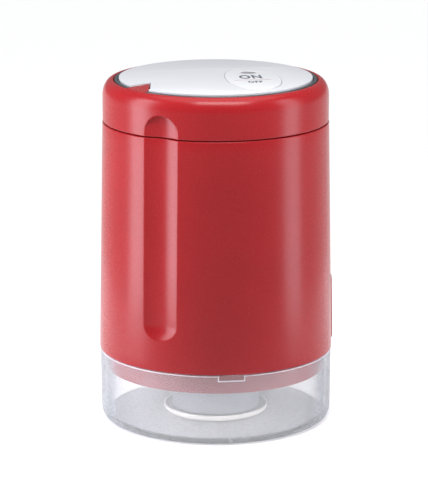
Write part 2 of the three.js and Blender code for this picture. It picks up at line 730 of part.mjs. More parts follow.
function inletFilter() {
  const top = FILTER_BOTTOM + FILTER_THICKNESS;
  const filter = disc(NOZZLE_BORE - 0.4, FILTER_BOTTOM, top, 0, 0, MEDIUM_ROUND);
  return mesh('inlet_filter', filter, NYLON);
}

// ---- Pump ----
function valvePlate() {
  const blank = disc(FLANGE_RADIUS, LEDGE_BOTTOM, VALVE_TOP, 0, 0, MEDIUM_ROUND);
  const stubRoom = disc(NOZZLE_STUB + BORE_FIT, 0, NOZZLE_STUB_TOP + FIT);
  const port = disc(1.4, 0, THROUGH);
  const intakeRoom = disc(INTAKE_VALVE_RADIUS + 0.4, VALVE_TOP - VALVE_POCKET, THROUGH);
  const plate = drill(cut(blank, stubRoom, port, intakeRoom), CYLINDER_SCREWS);
  const outlet = disc(1.3, EXHAUST_REACH, FLANGE_RADIUS + 6)
    .rotate([0, 90, 0])
    .translate([0, 0, EXHAUST_Z]);
  const chamber = disc(1.1, EXHAUST_Z, THROUGH, EXHAUST_REACH, 0, SCREW_ROUND);
  const flapRoom = disc(EXHAUST_VALVE_RADIUS + FIT, VALVE_TOP - VALVE_POCKET, THROUGH, EXHAUST_REACH, 0);
  const exhaust = join(outlet, chamber, flapRoom).rotate([0, 0, EXHAUST_TURN]);
  return mesh('valve_plate', cut(plate, exhaust), NYLON);
}

function valveFlap(name, radius, reach) {
  const turn = THREE.MathUtils.degToRad(EXHAUST_TURN);
  const bottom = VALVE_TOP - VALVE_POCKET + BORE_FIT;
  const flap = disc(
    radius, bottom, bottom + VALVE_THICKNESS, reach * Math.cos(turn), reach * Math.sin(turn),
  );
  return mesh(name, flap, BLACK);
}

function exhaustSilencer() {
  const body = turned([
    [0, 0],
    [0.95, 0],
    [0.95, 4.2],
    [2.2, 4.8],
    [2.2, 10],
    [1.2, 10],
    [1.2, 6],
    [0, 6],
  ], SMALL_ROUND);
  const group = new THREE.Group();
  const part = mesh('exhaust_silencer', body, NYLON);
  part.rotation.y = Math.PI / 2;
  group.add(place(part, EXHAUST_REACH + 3.5, 0, EXHAUST_Z));
  group.rotation.z = THREE.MathUtils.degToRad(EXHAUST_TURN);
  return group;
}

function pumpCylinder() {
  const flangeTop = CYLINDER_BOTTOM + FLANGE_THICKNESS;
  const cylinder = turned([
    [CYLINDER_BORE, CYLINDER_BOTTOM],
    [FLANGE_RADIUS, CYLINDER_BOTTOM],
    [FLANGE_RADIUS, flangeTop],
    [CYLINDER_OUTER, flangeTop],
    [CYLINDER_OUTER, CYLINDER_TOP],
    [CYLINDER_BORE, CYLINDER_TOP],
  ], MEDIUM_ROUND);
  return mesh('cylinder', drill(cylinder, CYLINDER_SCREWS), STEEL);
}

function cylinderScrews() {
  return CYLINDER_SCREWS.map(([x, y], i) => place(
    screw(`cylinder_screw_${i + 1}`, CYLINDER_SCREW_LENGTH),
    x, y, CYLINDER_BOTTOM + FLANGE_THICKNESS + HEAD_GAP,
  ));
}

// Piston, rod and open big end in one piece. The opening clears the crank pin over both strokes.
function pistonRod() {
  const halfEyeWidth = STROKE / 2 + CRANK_PIN_RADIUS + EYE_CLEARANCE;
  const halfEyeHeight = STROKE + CRANK_PIN_RADIUS + EYE_CLEARANCE;
  const halfCrown = PISTON_THICKNESS / 2;
  const crown = disc(
    CYLINDER_BORE - PISTON_GAP, PISTON_MID_Z - halfCrown, PISTON_MID_Z + halfCrown, 0, 0, MEDIUM_ROUND,
  );
  const neck = disc(SEAL_HUB - FIT, PISTON_MID_Z - PISTON_THICKNESS, PISTON_MID_Z);
  const shankTop = CRANK_Z - halfEyeHeight - EYE_WALL + EYE_CLEARANCE;
  const shank = post([0, 0], [2.4, 1.6], [PISTON_MID_Z, shankTop]);
  const outer = stadium(halfEyeWidth + EYE_WALL, halfEyeHeight + EYE_WALL);
  const inner = stadium(halfEyeWidth, halfEyeHeight);
  const eye = cut(
    prism(outer, -ROD_THICKNESS / 2, ROD_THICKNESS / 2, 10),
    prism(inner, -ROD_THICKNESS, ROD_THICKNESS, 10),
  ).rotate([90, 0, 0]).translate([0, 0, CRANK_Z]);
  return mesh('piston_rod', join(crown, neck, shank, eye), NYLON);
}

// A stadium outline, taller than it is wide, centred on the origin.
function stadium(halfWidth, halfHeight) {
  const straight = halfHeight - halfWidth;
  const shape = new THREE.Shape();
  shape.moveTo(halfWidth, -straight);
  shape.lineTo(halfWidth, straight);
  shape.absarc(0, straight, halfWidth, 0, Math.PI, false);
  shape.lineTo(-halfWidth, -straight);
  shape.absarc(0, -straight, halfWidth, Math.PI, 2 * Math.PI, false);
  return shape;
}

function pistonSeal() {
  const bottom = PISTON_MID_Z - PISTON_THICKNESS;
  const seal = turned([
    [SEAL_HUB, bottom],
    [SEAL_LIP_RADIUS - 0.2, bottom - 0.6],
    [SEAL_LIP_RADIUS, bottom - 0.6],
    [SEAL_LIP_RADIUS, bottom],
    [SEAL_LIP_RADIUS - 0.6, bottom + 0.9],
    [SEAL_HUB, bottom + 0.9],
  ], MEDIUM_ROUND);
  return mesh('piston_cup_seal', seal, BLACK);
}

// A spur gear outline with straight-sided teeth, one tooth centred on +X.
function gearOutline(teeth) {
  const pitch = GEAR_MODULE * teeth / 2;
  const tip = pitch + GEAR_MODULE * GEAR_ADDENDUM;
  const root = pitch - GEAR_MODULE * GEAR_DEDENDUM;
  const step = 2 * Math.PI / teeth;
  const corners = [];
  for (let i = 0; i < teeth; i += 1) {
    const tooth = [[-0.29, root], [-0.13, tip], [0.13, tip], [0.29, root]];
    for (const [offset, radius] of tooth) {
      const angle = (i + offset) * step;
      corners.push([radius * Math.cos(angle), radius * Math.sin(angle)]);
    }
  }
  return shapeFrom(corners);
}

// Crank parts are built about a +Z axle and turned so that the axle lies along +Y.
function crankAssembly() {
  const group = new THREE.Group();
  const throwRadius = STROKE / 2;
  const windows = GEAR_WINDOWS.map((degrees) => {
    const angle = THREE.MathUtils.degToRad(degrees);
    const [x, y] = [GEAR_WINDOW_CIRCLE * Math.cos(angle), GEAR_WINDOW_CIRCLE * Math.sin(angle)];
    return disc(GEAR_WINDOW_RADIUS, -1, GEAR_WIDTH + 1, x, y);
  });
  const axleHole = disc(CRANK_AXLE_RADIUS + 0.15, -1, GEAR_WIDTH + 1);
  const pinHole = disc(CRANK_PIN_RADIUS + 0.15, -1, GEAR_WIDTH + 1, throwRadius, 0);
  const gear = cut(prism(gearOutline(GEAR_TEETH), 0, GEAR_WIDTH), axleHole, pinHole, ...windows);
  const axleLength = FRAME_PLATE_Y + FRAME_PLATE_THICKNESS - GEAR_Y - FIT;
  const pin = disc(CRANK_PIN_RADIUS, -GEAR_Y - 3, GEAR_WIDTH, throwRadius, 0);
  group.add(mesh('crank_gear', gear, NYLON));
  group.add(mesh('crank_axle', disc(CRANK_AXLE_RADIUS, 0, axleLength), STEEL));
  group.add(mesh('crank_pin', pin, STEEL));
  group.rotation.x = -Math.PI / 2;
  return place(group, 0, GEAR_Y, CRANK_Z);
}

function motorAssembly() {
  const group = new THREE.Group();
  const front = MOTOR_FRONT - GEAR_Y;
  const back = front + MOTOR_LENGTH;
  const inside = MOTOR_RADIUS - MOTOR_WALL;
  const shaftHole = MOTOR_SHAFT_RADIUS + 0.2;
  const can = turned([
    [MOTOR_SHAFT_RADIUS + FIT, front],
    [MOTOR_RADIUS, front],
    [MOTOR_RADIUS, back],
    [inside, back],
    [inside, front + 1],
    [MOTOR_SHAFT_RADIUS + FIT, front + 1],
  ], MEDIUM_ROUND);
  const cap = turned([
    [0, back - 1.6],
    [inside - FIT, back - 1.6],
    [inside - FIT, back + FIT],
    [MOTOR_RADIUS, back + FIT],
    [MOTOR_RADIUS, back + 1.5],
    [3, back + 1.5],
    [3, back + 2.5],
    [0, back + 2.5],
  ], MEDIUM_ROUND);
  const screwHoles = MOTOR_SCREW_X.map((x) => [x, 0]);
  group.add(mesh('motor_can', drill(can, screwHoles, front - 1, front + 3), STEEL));
  group.add(mesh('motor_end_cap', cut(cap, disc(MOTOR_SHAFT_RADIUS + FIT, 0, back + 1)), BLACK));
  group.add(mesh('motor_shaft', disc(MOTOR_SHAFT_RADIUS, 0.2, back + 0.6), STEEL));
  const magnets = { motor_magnet_left: 180 - MAGNET_SPAN / 2, motor_magnet_right: -MAGNET_SPAN / 2 };
  for (const [name, from] of Object.entries(magnets)) {
    const magnet = ringSector(
      MAGNET_INNER, inside - FIT, from, from + MAGNET_SPAN, front + MAGNET_INSET, back - MAGNET_INSET, 10,
    );
    group.add(mesh(name, magnet, BLACK));
  }
  const drum = cut(disc(2.6, back - 4.6, back - 2), disc(shaftHole, 0, THROUGH));
  const pinion = prism(gearOutline(PINION_TEETH), 0, GEAR_WIDTH).rotate([0, 0, 180 / PINION_TEETH]);
  group.add(mesh('armature', armature(front + ARMATURE_INSET, back - ARMATURE_INSET), STEEL));
  group.add(mesh('commutator', drum, BRASS));
  group.add(mesh('pinion', cut(pinion, disc(shaftHole, -1, GEAR_WIDTH + 1)), BRASS));
  group.rotation.x = -Math.PI / 2;
  return place(group, 0, GEAR_Y, MOTOR_Z);
}

function armature(bottom, top) {
  let core = disc(ARMATURE_HUB, bottom, top);
  for (const degrees of [90, 210, 330]) {
    const shoe = ringSector(ARMATURE_SHOE, ARMATURE_RADIUS, degrees - 48, degrees + 48, bottom, top, 8);
    const web = box([0, ARMATURE_SHOE + 0.5], [-0.9, 0.9], [bottom, top]).rotate([0, 0, degrees]);
    core = join(core, web, shoe);
  }
  return cut(core, disc(MOTOR_SHAFT_RADIUS + 0.2, bottom - 1, top + 1));
}

function pumpFrame() {
  const sides = (low, high) => [[low, high], [-high, -low]];
  const shelfTop = SHELF_Z + SHELF_THICKNESS;
  const gussetTop = SHELF_Z + FRAME_GUSSET;
  const half = FRAME_HALF_WIDTH;
  const plateBack = FRAME_PLATE_Y + FRAME_PLATE_THICKNESS;
  const plateRange = [FRAME_PLATE_Y, plateBack];
  const legRange = [-FRAME_LEG_HALF, FRAME_LEG_HALF];
  const footRange = [-FRAME_FOOT_HALF, FRAME_FOOT_HALF];
  const legs = sides(FRAME_LEG_INNER, half).map((x) => box(x, legRange, [LEDGE_BOTTOM, shelfTop]));
  const feet = sides(FRAME_LEG_INNER, FRAME_FOOT_REACH)
    .map((x) => box(x, footRange, [LEDGE_BOTTOM, LEDGE_BOTTOM + SHELF_THICKNESS]));
  const shelf = box([-half, half], [-FRAME_LEG_HALF, plateBack], [SHELF_Z, shelfTop]);
  const wall = box([3 - half, half - 3], plateRange, [SHELF_Z, MOTOR_Z + MOTOR_RADIUS + 0.8]);
  const gussets = sides(FRAME_LEG_INNER, half)
    .map((x) => box(x, [-FRAME_LEG_HALF, plateBack], [SHELF_Z, gussetTop]));
  const links = sides(half - 4, half).map((x) => box(x, plateRange, [SHELF_Z, gussetTop]));
  const alongY = (bar, z) => bar.rotate([-90, 0, 0]).translate([0, 0, z]);
  const holes = [
    alongY(disc(CRANK_AXLE_RADIUS + 0.1, 0, THROUGH), CRANK_Z),
    alongY(disc(3.2, 0, THROUGH), MOTOR_Z),
    ...MOTOR_SCREW_X.map((x) => alongY(disc(SCREW_HOLE, 0, THROUGH, x, 0, SCREW_ROUND), MOTOR_Z)),
    disc(5, 0, shelfTop + 1),
    ...FRAME_SCREWS.map(([x, y]) => disc(SCREW_HOLE, 0, SHELF_Z - 10, x, y, SCREW_ROUND)),
  ];
  return mesh('pump_frame', cut(join(...legs, ...feet, shelf, wall, ...gussets, ...links), ...holes), GREY);
}

function frameScrews() {
  return FRAME_SCREWS.map(([x, y], i) => place(
    screw(`frame_screw_${i + 1}`, FRAME_SCREW_LENGTH), x, y, LEDGE_BOTTOM + SHELF_THICKNESS + HEAD_GAP,
  ));
}

function motorScrews() {
  return MOTOR_SCREW_X.map((x, i) => {
    const part = screw(`motor_screw_${i + 1}`, MOTOR_SCREW_LENGTH);
    part.rotation.x = Math.PI / 2;
    return place(part, x, FRAME_PLATE_Y - HEAD_GAP, MOTOR_Z);
  });
}

// ---- Battery ----
function batteryCell(name, [x, y]) {
  const [buttonRadius, buttonHeight] = CELL_BUTTON;
  const cell = turned([
    [0, 0],
    [CELL_RADIUS - CELL_CHAMFER, 0],
    [CELL_RADIUS, CELL_CHAMFER],
    [CELL_RADIUS, CELL_LENGTH - CELL_CHAMFER],
    [CELL_RADIUS - CELL_CHAMFER, CELL_LENGTH],
    [buttonRadius, CELL_LENGTH],
    [buttonRadius, CELL_LENGTH + buttonHeight],
    [0, CELL_LENGTH + buttonHeight],
  ], MEDIUM_ROUND);
  return place(mesh(name, cell, CELL_BLUE), x, y, CELL_BOTTOM);
}

// End plates joined by two side walls, open towards the pump and towards the housing.
function batteryHolder(name, [x, y]) {
  const inner = CELL_RADIUS + HOLDER_GAP;
  const outer = inner + HOLDER_WALL;
  const roomTop = CELL_LENGTH + HOLDER_TOP_ROOM;
  const low = -HOLDER_GAP - HOLDER_FLOOR;
  const high = roomTop + HOLDER_FLOOR - HOLDER_GAP;
  const blank = disc(outer, low, high, 0, 0, MEDIUM_ROUND);
  const tube = cut(blank, disc(inner, -HOLDER_GAP, roomTop, 0, 0, MEDIUM_ROUND));
  const window = box([-HOLDER_HALF_WIDTH, HOLDER_HALF_WIDTH], [-outer, outer], [low, high]);
  const holder = mesh(name, common(tube, window), BLACK);
  holder.rotation.z = Math.atan2(y, x);
  return place(holder, x, y, CELL_BOTTOM);
}

// ---- Assembly ----
const sealer = new THREE.Group();
sealer.name = 'vacuum_sealer';
sealer.add(standCup());

const housing = new THREE.Group();
housing.add(bodyShell(), topCap(), bezelRing(), topPlate());
housing.add(jackCover(), jackSocket());
sealer.add(housing);

const controls = new THREE.Group();
controls.add(rockerKey(), keyLens(), rockerPivotPin(), rockerSwitch(), statusLed(), controlBoard());
controls.add(...boardScrews());
sealer.add(controls);

const inlet = new THREE.Group();
inlet.add(basePlate(), ...baseScrews(), suctionNozzle(), ...nozzleScrews(), nozzleGasket(), inletFilter());
const oRing = torus('nozzle_o_ring', NOZZLE_STUB + O_RING_SEAT / 2, O_RING_WIRE, BLACK);
inlet.add(place(oRing, 0, 0, BASE_PLATE_BOTTOM - FIT - O_RING_WIRE));
sealer.add(inlet);

const pump = new THREE.Group();
pump.add(valvePlate());
pump.add(valveFlap('intake_valve', INTAKE_VALVE_RADIUS, 0));
pump.add(valveFlap('exhaust_valve', EXHAUST_VALVE_RADIUS, EXHAUST_REACH));
pump.add(exhaustSilencer(), pumpCylinder(), ...cylinderScrews(), pistonRod(), pistonSeal());
pump.add(crankAssembly(), motorAssembly(), pumpFrame(), ...frameScrews(), ...motorScrews());
sealer.add(pump);

const power = new THREE.Group();
for (const [side, centre] of Object.entries(CELL_PLACES)) {
  power.add(batteryCell(`battery_cell_${side}`, centre), batteryHolder(`battery_holder_${side}`, centre));
}
sealer.add(power);

export default sealer;
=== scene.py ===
import json
import math

import bmesh
import bpy
from mathutils import Matrix, Vector


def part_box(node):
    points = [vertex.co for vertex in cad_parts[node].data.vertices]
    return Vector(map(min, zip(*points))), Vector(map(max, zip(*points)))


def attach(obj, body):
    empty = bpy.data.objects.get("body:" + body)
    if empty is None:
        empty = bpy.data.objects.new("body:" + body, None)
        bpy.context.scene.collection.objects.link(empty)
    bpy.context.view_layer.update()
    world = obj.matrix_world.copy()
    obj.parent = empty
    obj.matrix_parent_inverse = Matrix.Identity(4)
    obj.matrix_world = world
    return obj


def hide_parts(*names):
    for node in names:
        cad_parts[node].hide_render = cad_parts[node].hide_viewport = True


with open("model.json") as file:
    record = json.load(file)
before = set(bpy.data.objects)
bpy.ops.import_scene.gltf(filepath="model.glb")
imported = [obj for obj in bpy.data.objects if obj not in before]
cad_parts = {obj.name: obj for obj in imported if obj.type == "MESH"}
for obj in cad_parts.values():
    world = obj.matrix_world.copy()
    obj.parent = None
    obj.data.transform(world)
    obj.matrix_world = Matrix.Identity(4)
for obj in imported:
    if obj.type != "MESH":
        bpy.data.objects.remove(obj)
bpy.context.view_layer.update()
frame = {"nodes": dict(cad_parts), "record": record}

# ---- Places, in millimetres, worked out from the frame ----
MM = 0.001
FIT = 0.3


def reach(node, corner, axis):
    """One face of a CAD node's box, in millimetres. corner is 0 for low and 1 for high."""
    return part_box(node)[corner][axis] / MM


CUP_TOP = reach("stand_cup", 1, 2)
CUP_RADIUS = reach("stand_cup", 1, 0)
CUP_TAPER = 0.4
CUP_BASE_RADIUS = CUP_RADIUS - CUP_TAPER
CUP_WALL = 1.9
CUP_FLOOR = 1.4
CUP_FILLET = 3.5
CUP_INNER_FILLET = 2.5
CUP_LIP_ROUND = 0.45
CUP_LIP_DEPTH = 0.5
CUP_FLOOR_DEPTH = 0.6
NOTCH_WIDTH = 9.2
NOTCH_HEIGHT = 2.1
NOTCH_DEPTH = 0.8
NOTCH_STEP = 0.35

SPIGOT_BOTTOM = reach("body_shell", 0, 2)
SHELL_TOP = reach("body_shell", 1, 2)
SHELL_RADIUS = reach("body_shell", 1, 1)
SHELL_BOTTOM = CUP_TOP + FIT
SHELL_TAPER = 1.5
SHELL_TOP_RADIUS = SHELL_RADIUS - SHELL_TAPER
SHELL_INNER_TOP = 36.1
SHELL_INNER_FOOT = 37.0
SPIGOT_RADIUS = 37.3
SPIGOT_INNER = 35.1
LEDGE_BOTTOM = 21.9
LEDGE_TOP = LEDGE_BOTTOM + 2.2
LEDGE_RADIUS = 33.6
SHELL_WALL_FOOT = LEDGE_BOTTOM + 4.6

CAP_RADIUS = reach("top_cap", 1, 0)
TAB_TOP = reach("top_cap", 1, 2)
BEZEL_PROUD = 0.1
CAP_TOP = reach("bezel_ring", 1, 2) - BEZEL_PROUD
CAP_EDGE_WIDTH = 3.5
CAP_EDGE_HEIGHT = 5.3
CAP_BOTTOM = SHELL_TOP + FIT
CAP_SPIGOT_BOTTOM = reach("top_cap", 0, 2)
CAP_SPIGOT_INNER = 33.9
CAP_SPIGOT_RADIUS = 35.8
CAP_MOUTH = 34.7
CAP_LEDGE_BOTTOM = 111
CAP_LEDGE_TOP = 113.5
CAP_LEDGE_RADIUS = 31

BEZEL_RADIUS = reach("bezel_ring", 1, 0)
BEZEL_TOP = reach("bezel_ring", 1, 2)
BEZEL_INNER = 33.1
PLATE_RADIUS = reach("top_plate", 1, 0)
PLATE_TOP = reach("top_plate", 1, 2)
PLATE_BOTTOM = reach("top_plate", 0, 2)

KEY_LOW, KEY_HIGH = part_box("rocker_key")
KEY_CENTRE = ((KEY_LOW + KEY_HIGH) / 2 / MM).xy
KEY_HALF = ((KEY_HIGH - KEY_LOW) / 2 / MM).xy
KEY_TOP = KEY_HIGH.z / MM
KEY_SIDE_GAP = 0.09
KEY_END_GAP = 0.32
KEY_PIVOT = 114.6
KEY_THICKNESS = 2
KEY_EDGE = 0.16
PANEL_EDGE = 0.14
LENS_LOW, LENS_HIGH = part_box("key_lens")
LENS_CENTRE = ((LENS_LOW + LENS_HIGH) / 2 / MM).xy
LENS_RADIUS = 2.4
LENS_GAP = 0.15
LENS_DOME = 0.25

TAB_CORNERS = ((-25.1, -20.5), (-23.6, -9.6), (-30.7, -13.8))
TAB_GAP = 0.45
TAB_EDGE = 0.12
CUTTER_EDGE = 0.01

GROOVE_ANGLE = -36
GROOVE_WIDTH = 12.5
GROOVE_DEPTH = 1.7
GROOVE_BOTTOM = 35.4
GROOVE_RUNOUT = 5
GROOVE_TOP = 111.6
GROOVE_WALL_SLOPE = 4
GROOVE_EDGE_ROUND = 0.07
GROOVE_MARGIN = 3
GROOVED_SKIN = 6

JACK_ANGLE = 103
JACK_Z = 37.5
JACK_COVER_WIDTH = 23
JACK_COVER_BOTTOM = reach("jack_cover", 0, 2)
JACK_COVER_TOP = reach("jack_cover", 1, 2)
JACK_COVER_PROUD = 0.6
JACK_POCKET_DEPTH = 1.5
JACK_GAP = FIT
JACK_CORNER = 1.6
JACK_COVER_EDGE = 0.25
JACK_BORE_RADIUS = 3.4
JACK_BORE_SPAN = (34, 42)
JACK_PLUG_RADIUS = 2.4
JACK_PLUG_SPAN = (36.6, 38.9)
POCKET_PROUD = 4

NOZZLE_RADIUS = 15.1
NOZZLE_BORE = 12.6
NOZZLE_MOUTH = reach("suction_nozzle", 0, 2)
NOZZLE_STUB_TOP = reach("suction_nozzle", 1, 2)
NOZZLE_DECK = 16.7
NOZZLE_STUB = 3.4
NOZZLE_PASSAGE = 1.6
O_RING_SEAT = 2.4
O_RING_DEPTH = 1.1
GASKET_RADIUS = reach("nozzle_gasket", 1, 0)
GASKET_BOTTOM = reach("nozzle_gasket", 0, 2)
GASKET_WALL = 1.3
GASKET_LIP = 2.1
GASKET_COLLAR = 5
GASKET_COLLAR_WALL = 1.1
BASE_PLATE_BOTTOM = reach("base_plate", 0, 2)

# Small roundings of turned edges, as (radius, height) steps from the sharp corner
SPIGOT_FOOT_EASE = ((-0.4, 0), (-0.1, 0.15), (0, 0.5))
SHELL_FOOT_EASE = ((-0.45, 0), (-0.16, 0.08), (-0.03, 0.25))
SHELL_TOP_EASE = ((-0.06, -0.16), (-0.2, -0.04), (-0.4, 0))
CAP_FOOT_EASE = ((-0.4, 0), (-0.2, 0.04), (-0.06, 0.16))
CAP_MOUTH_EASE = ((0.12, -0.03), (0, -0.2))

# Mesh fineness
SMOOTH_ROUND = 192
SMALL_ROUND = 48
GROOVE_STEPS = 26
GROOVE_STEPS_WITH_MARGIN = 34
PLAIN_STEPS = 150
SHOULDER_STEPS = 16
DOME_STEPS = 8
JACK_COLUMNS = 24
JACK_ROWS = 8
FLAT_NORMAL = 0.9999
SHARP_DEGREES = 38
BLOCK_SHARP_DEGREES = 40
SLAB_SHARP_DEGREES = 50
WELD = 1e-7
TINY = 1e-9


# ---- Mesh helpers, all in millimetres ----
def shell_radius(z):
    """Outer radius of the tapered body at a height."""
    taper = (SHELL_RADIUS - SHELL_TOP_RADIUS) / (SHELL_TOP - SHELL_BOTTOM)
    return SHELL_RADIUS - (z - SHELL_BOTTOM) * taper


def finish_mesh(name, vertices, faces, sharp_degrees=SHARP_DEGREES):
    """A smooth-shaded mesh object from points in millimetres."""
    data = bpy.data.meshes.new(name)
    data.from_pydata([tuple(c * MM for c in v) for v in vertices], [], faces)
    made = bpy.data.objects.new(name, data)
    bpy.context.scene.collection.objects.link(made)
    tidy_mesh(made, sharp_degrees)
    return made


def tidy_mesh(piece, sharp_degrees=SHARP_DEGREES):
    """Welds, turns faces outwards and shades smooth, with level faces and sharp edges left crisp."""
    work = bmesh.new()
    work.from_mesh(piece.data)
    bmesh.ops.remove_doubles(work, verts=work.verts, dist=WELD)
    bmesh.ops.dissolve_degenerate(work, edges=work.edges, dist=WELD / 10)
    bmesh.ops.recalc_face_normals(work, faces=work.faces)
    work.to_mesh(piece.data)
    work.free()
    for polygon in piece.data.polygons:
        polygon.use_smooth = abs(polygon.normal.z) < FLAT_NORMAL
    piece.data.set_sharp_from_angle(angle=math.radians(sharp_degrees))


def rounded(corners, steps=5):
    """A profile of (radius, height, fillet) corners as plain points, with each fillet as an arc."""
    points = []
    count = len(corners)
    for i, (r, z, fillet) in enumerate(corners):
        here = Vector((r, z))
        before = Vector(corners[i - 1][:2])
        after = Vector(corners[(i + 1) % count][:2])
        if fillet <= 0 or r <= 0:
            points.append((r, z))
            continue
        back = (before - here).normalized()
        ahead = (after - here).normalized()
        half = back.angle(ahead) / 2
        set_back = fillet / math.tan(half)
        centre = here + (back + ahead).normalized() * (fillet / math.sin(half))
        start = here + back * set_back - centre
        end = here + ahead * set_back - centre
        turn = start.angle_signed(end)
        for k in range(steps + 1):
            spoke = start.copy()
            spoke.rotate(Matrix.Rotation(-turn * k / steps, 2))
            points.append(tuple(centre + spoke))
    return points


def eased(radius, height, steps):
    """The points of a small edge rounding, at a radius and a height."""
    return [(radius + across, height + up) for across, up in steps]


def revolve(name, profile, angles=None, closed=True, dent=None, sharp_degrees=SHARP_DEGREES):
    """Turns a profile of (radius, height) about Z. closed joins its last point to its first; a profile
    that starts and ends on the axis isn't. dent(angle, radius, height) presses a point inwards."""
    if angles is None:
        angles = [2 * math.pi * i / SMOOTH_ROUND for i in range(SMOOTH_ROUND)]
    vertices = []
    for angle in angles:
        for r, z in profile:
            depth = dent(angle, r, z) if dent else 0
            vertices.append(((r - depth) * math.sin(angle), -(r - depth) * math.cos(angle), z))
    rows = len(profile)
    columns = len(angles)
    faces = []
    for i in range(columns):
        left, right = i * rows, ((i + 1) % columns) * rows
        for j in range(rows if closed else rows - 1):
            k = (j + 1) % rows
            faces.append((left + j, right + j, right + k, left + k))
    return finish_mesh(name, vertices, faces, sharp_degrees)


def carve(piece, *tools, operation="DIFFERENCE", sharp_degrees=SHARP_DEGREES):
    """Cuts tools from a piece, or joins them to it, and removes the tools."""
    for tool in tools:
        modifier = piece.modifiers.new("carve", "BOOLEAN")
        modifier.operation = operation
        modifier.solver = "EXACT"
        modifier.object = tool
        bpy.context.view_layer.update()
        evaluated = piece.evaluated_get(bpy.context.evaluated_depsgraph_get())
        result = bpy.data.meshes.new_from_object(evaluated)
        piece.modifiers.clear()
        piece.data = result
        bpy.data.objects.remove(tool)
    tidy_mesh(piece, sharp_degrees)
    return piece


def block(name, x_range, y_range, z_range, turn_degrees=0):
    """A box, turned about Z, used as a cutter."""
    turn = Matrix.Rotation(math.radians(turn_degrees), 3, "Z")
    corners = [turn @ Vector((x, y, z)) for x in x_range for y in y_range for z in z_range]
    faces = [(0, 1, 3, 2), (4, 6, 7, 5), (0, 4, 5, 1), (2, 3, 7, 6), (0, 2, 6, 4), (1, 5, 7, 3)]
    return finish_mesh(name, corners, faces)


def outline_slab(name, outlines, bottom, top, bevel=0.15, steps=3):
    """A flat slab between two heights with rounded edges. Later outlines inside the first are holes."""
    curve = bpy.data.curves.new(name, "CURVE")
    curve.dimensions = "2D"
    curve.fill_mode = "BOTH"
    for outline in outlines:
        spline = curve.splines.new("POLY")
        spline.points.add(len(outline) - 1)
        spline.use_cyclic_u = True
        for point, (x, y) in zip(spline.points, outline):
            point.co = (x * MM, y * MM, 0, 1)
    curve.bevel_depth = bevel * MM
    curve.bevel_resolution = steps
    curve.offset = -bevel * MM
    curve.extrude = (top - bottom) / 2 * MM - bevel * MM
    holder = bpy.data.objects.new(name + "_curve", curve)
    bpy.context.scene.collection.objects.link(holder)
    bpy.context.view_layer.update()
    data = bpy.data.meshes.new_from_object(holder)
    bpy.data.objects.remove(holder)
    data.transform(Matrix.Translation((0, 0, (bottom + top) / 2 * MM)))
    data.name = name
    made = bpy.data.objects.new(name, data)
    bpy.context.scene.collection.objects.link(made)
    tidy_mesh(made, SLAB_SHARP_DEGREES)
    return made


def circle(radius, centre=(0, 0), count=SMOOTH_ROUND):
    return ellipse(radius, radius, centre, count)


def ellipse(half_width, half_length, centre=(0, 0), count=SMOOTH_ROUND):
    """Points around an ellipse."""
    turns = [2 * math.pi * i / count for i in range(count)]
    return [(centre[0] + half_width * math.cos(t), centre[1] + half_length * math.sin(t)) for t in turns]


# ---- Material helpers ----
NOISE_LOW, NOISE_HIGH = 0.3, 0.7
SLOW_CHANGE = 60
COAT_ROUGHNESS = 0.08


def new_material(name):
    material = bpy.data.materials.new(name)
    material.use_nodes = True
    tree = material.node_tree
    return material, tree.nodes, tree.links, tree.nodes["Principled BSDF"]


def noise(nodes, links, scale, detail=4, roughness=0.55, stretch=(1, 1, 1)):
    """Object-space noise, in features per metre."""
    place = nodes.new("ShaderNodeTexCoord")
    mapping = nodes.new("ShaderNodeMapping")
    mapping.inputs["Scale"].default_value = stretch
    texture = nodes.new("ShaderNodeTexNoise")
    texture.inputs["Scale"].default_value = scale
    texture.inputs["Detail"].default_value = detail
    texture.inputs["Roughness"].default_value = roughness
    links.new(place.outputs["Object"], mapping.inputs["Vector"])
    links.new(mapping.outputs["Vector"], texture.inputs["Vector"])
    return texture.outputs["Fac"]


def spread(nodes, links, value, low, high):
    """Maps a 0..1 value to a range."""
    ramp = nodes.new("ShaderNodeMapRange")
    ramp.inputs["From Min"].default_value = NOISE_LOW
    ramp.inputs["From Max"].default_value = NOISE_HIGH
    ramp.inputs["To Min"].default_value = low
    ramp.inputs["To Max"].default_value = high
    links.new(value, ramp.inputs["Value"])
    return ramp.outputs["Result"]


def tint(nodes, links, value, dark, light):
    """Blends two colours by a 0..1 value."""
    ramp = nodes.new("ShaderNodeValToRGB")
    ramp.color_ramp.elements[0].position = NOISE_LOW
    ramp.color_ramp.elements[1].position = NOISE_HIGH
    ramp.color_ramp.elements[0].color = (*dark, 1)
    ramp.color_ramp.elements[1].color = (*light, 1)
    links.new(value, ramp.inputs["Fac"])
    return ramp.outputs["Color"]


def add_bump(nodes, links, shader, height, strength, distance):
    bump = nodes.new("ShaderNodeBump")
    bump.inputs["Strength"].default_value = strength
    bump.inputs["Distance"].default_value = distance
    links.new(height, bump.inputs["Height"])
    links.new(bump.outputs["Normal"], shader.inputs["Normal"])


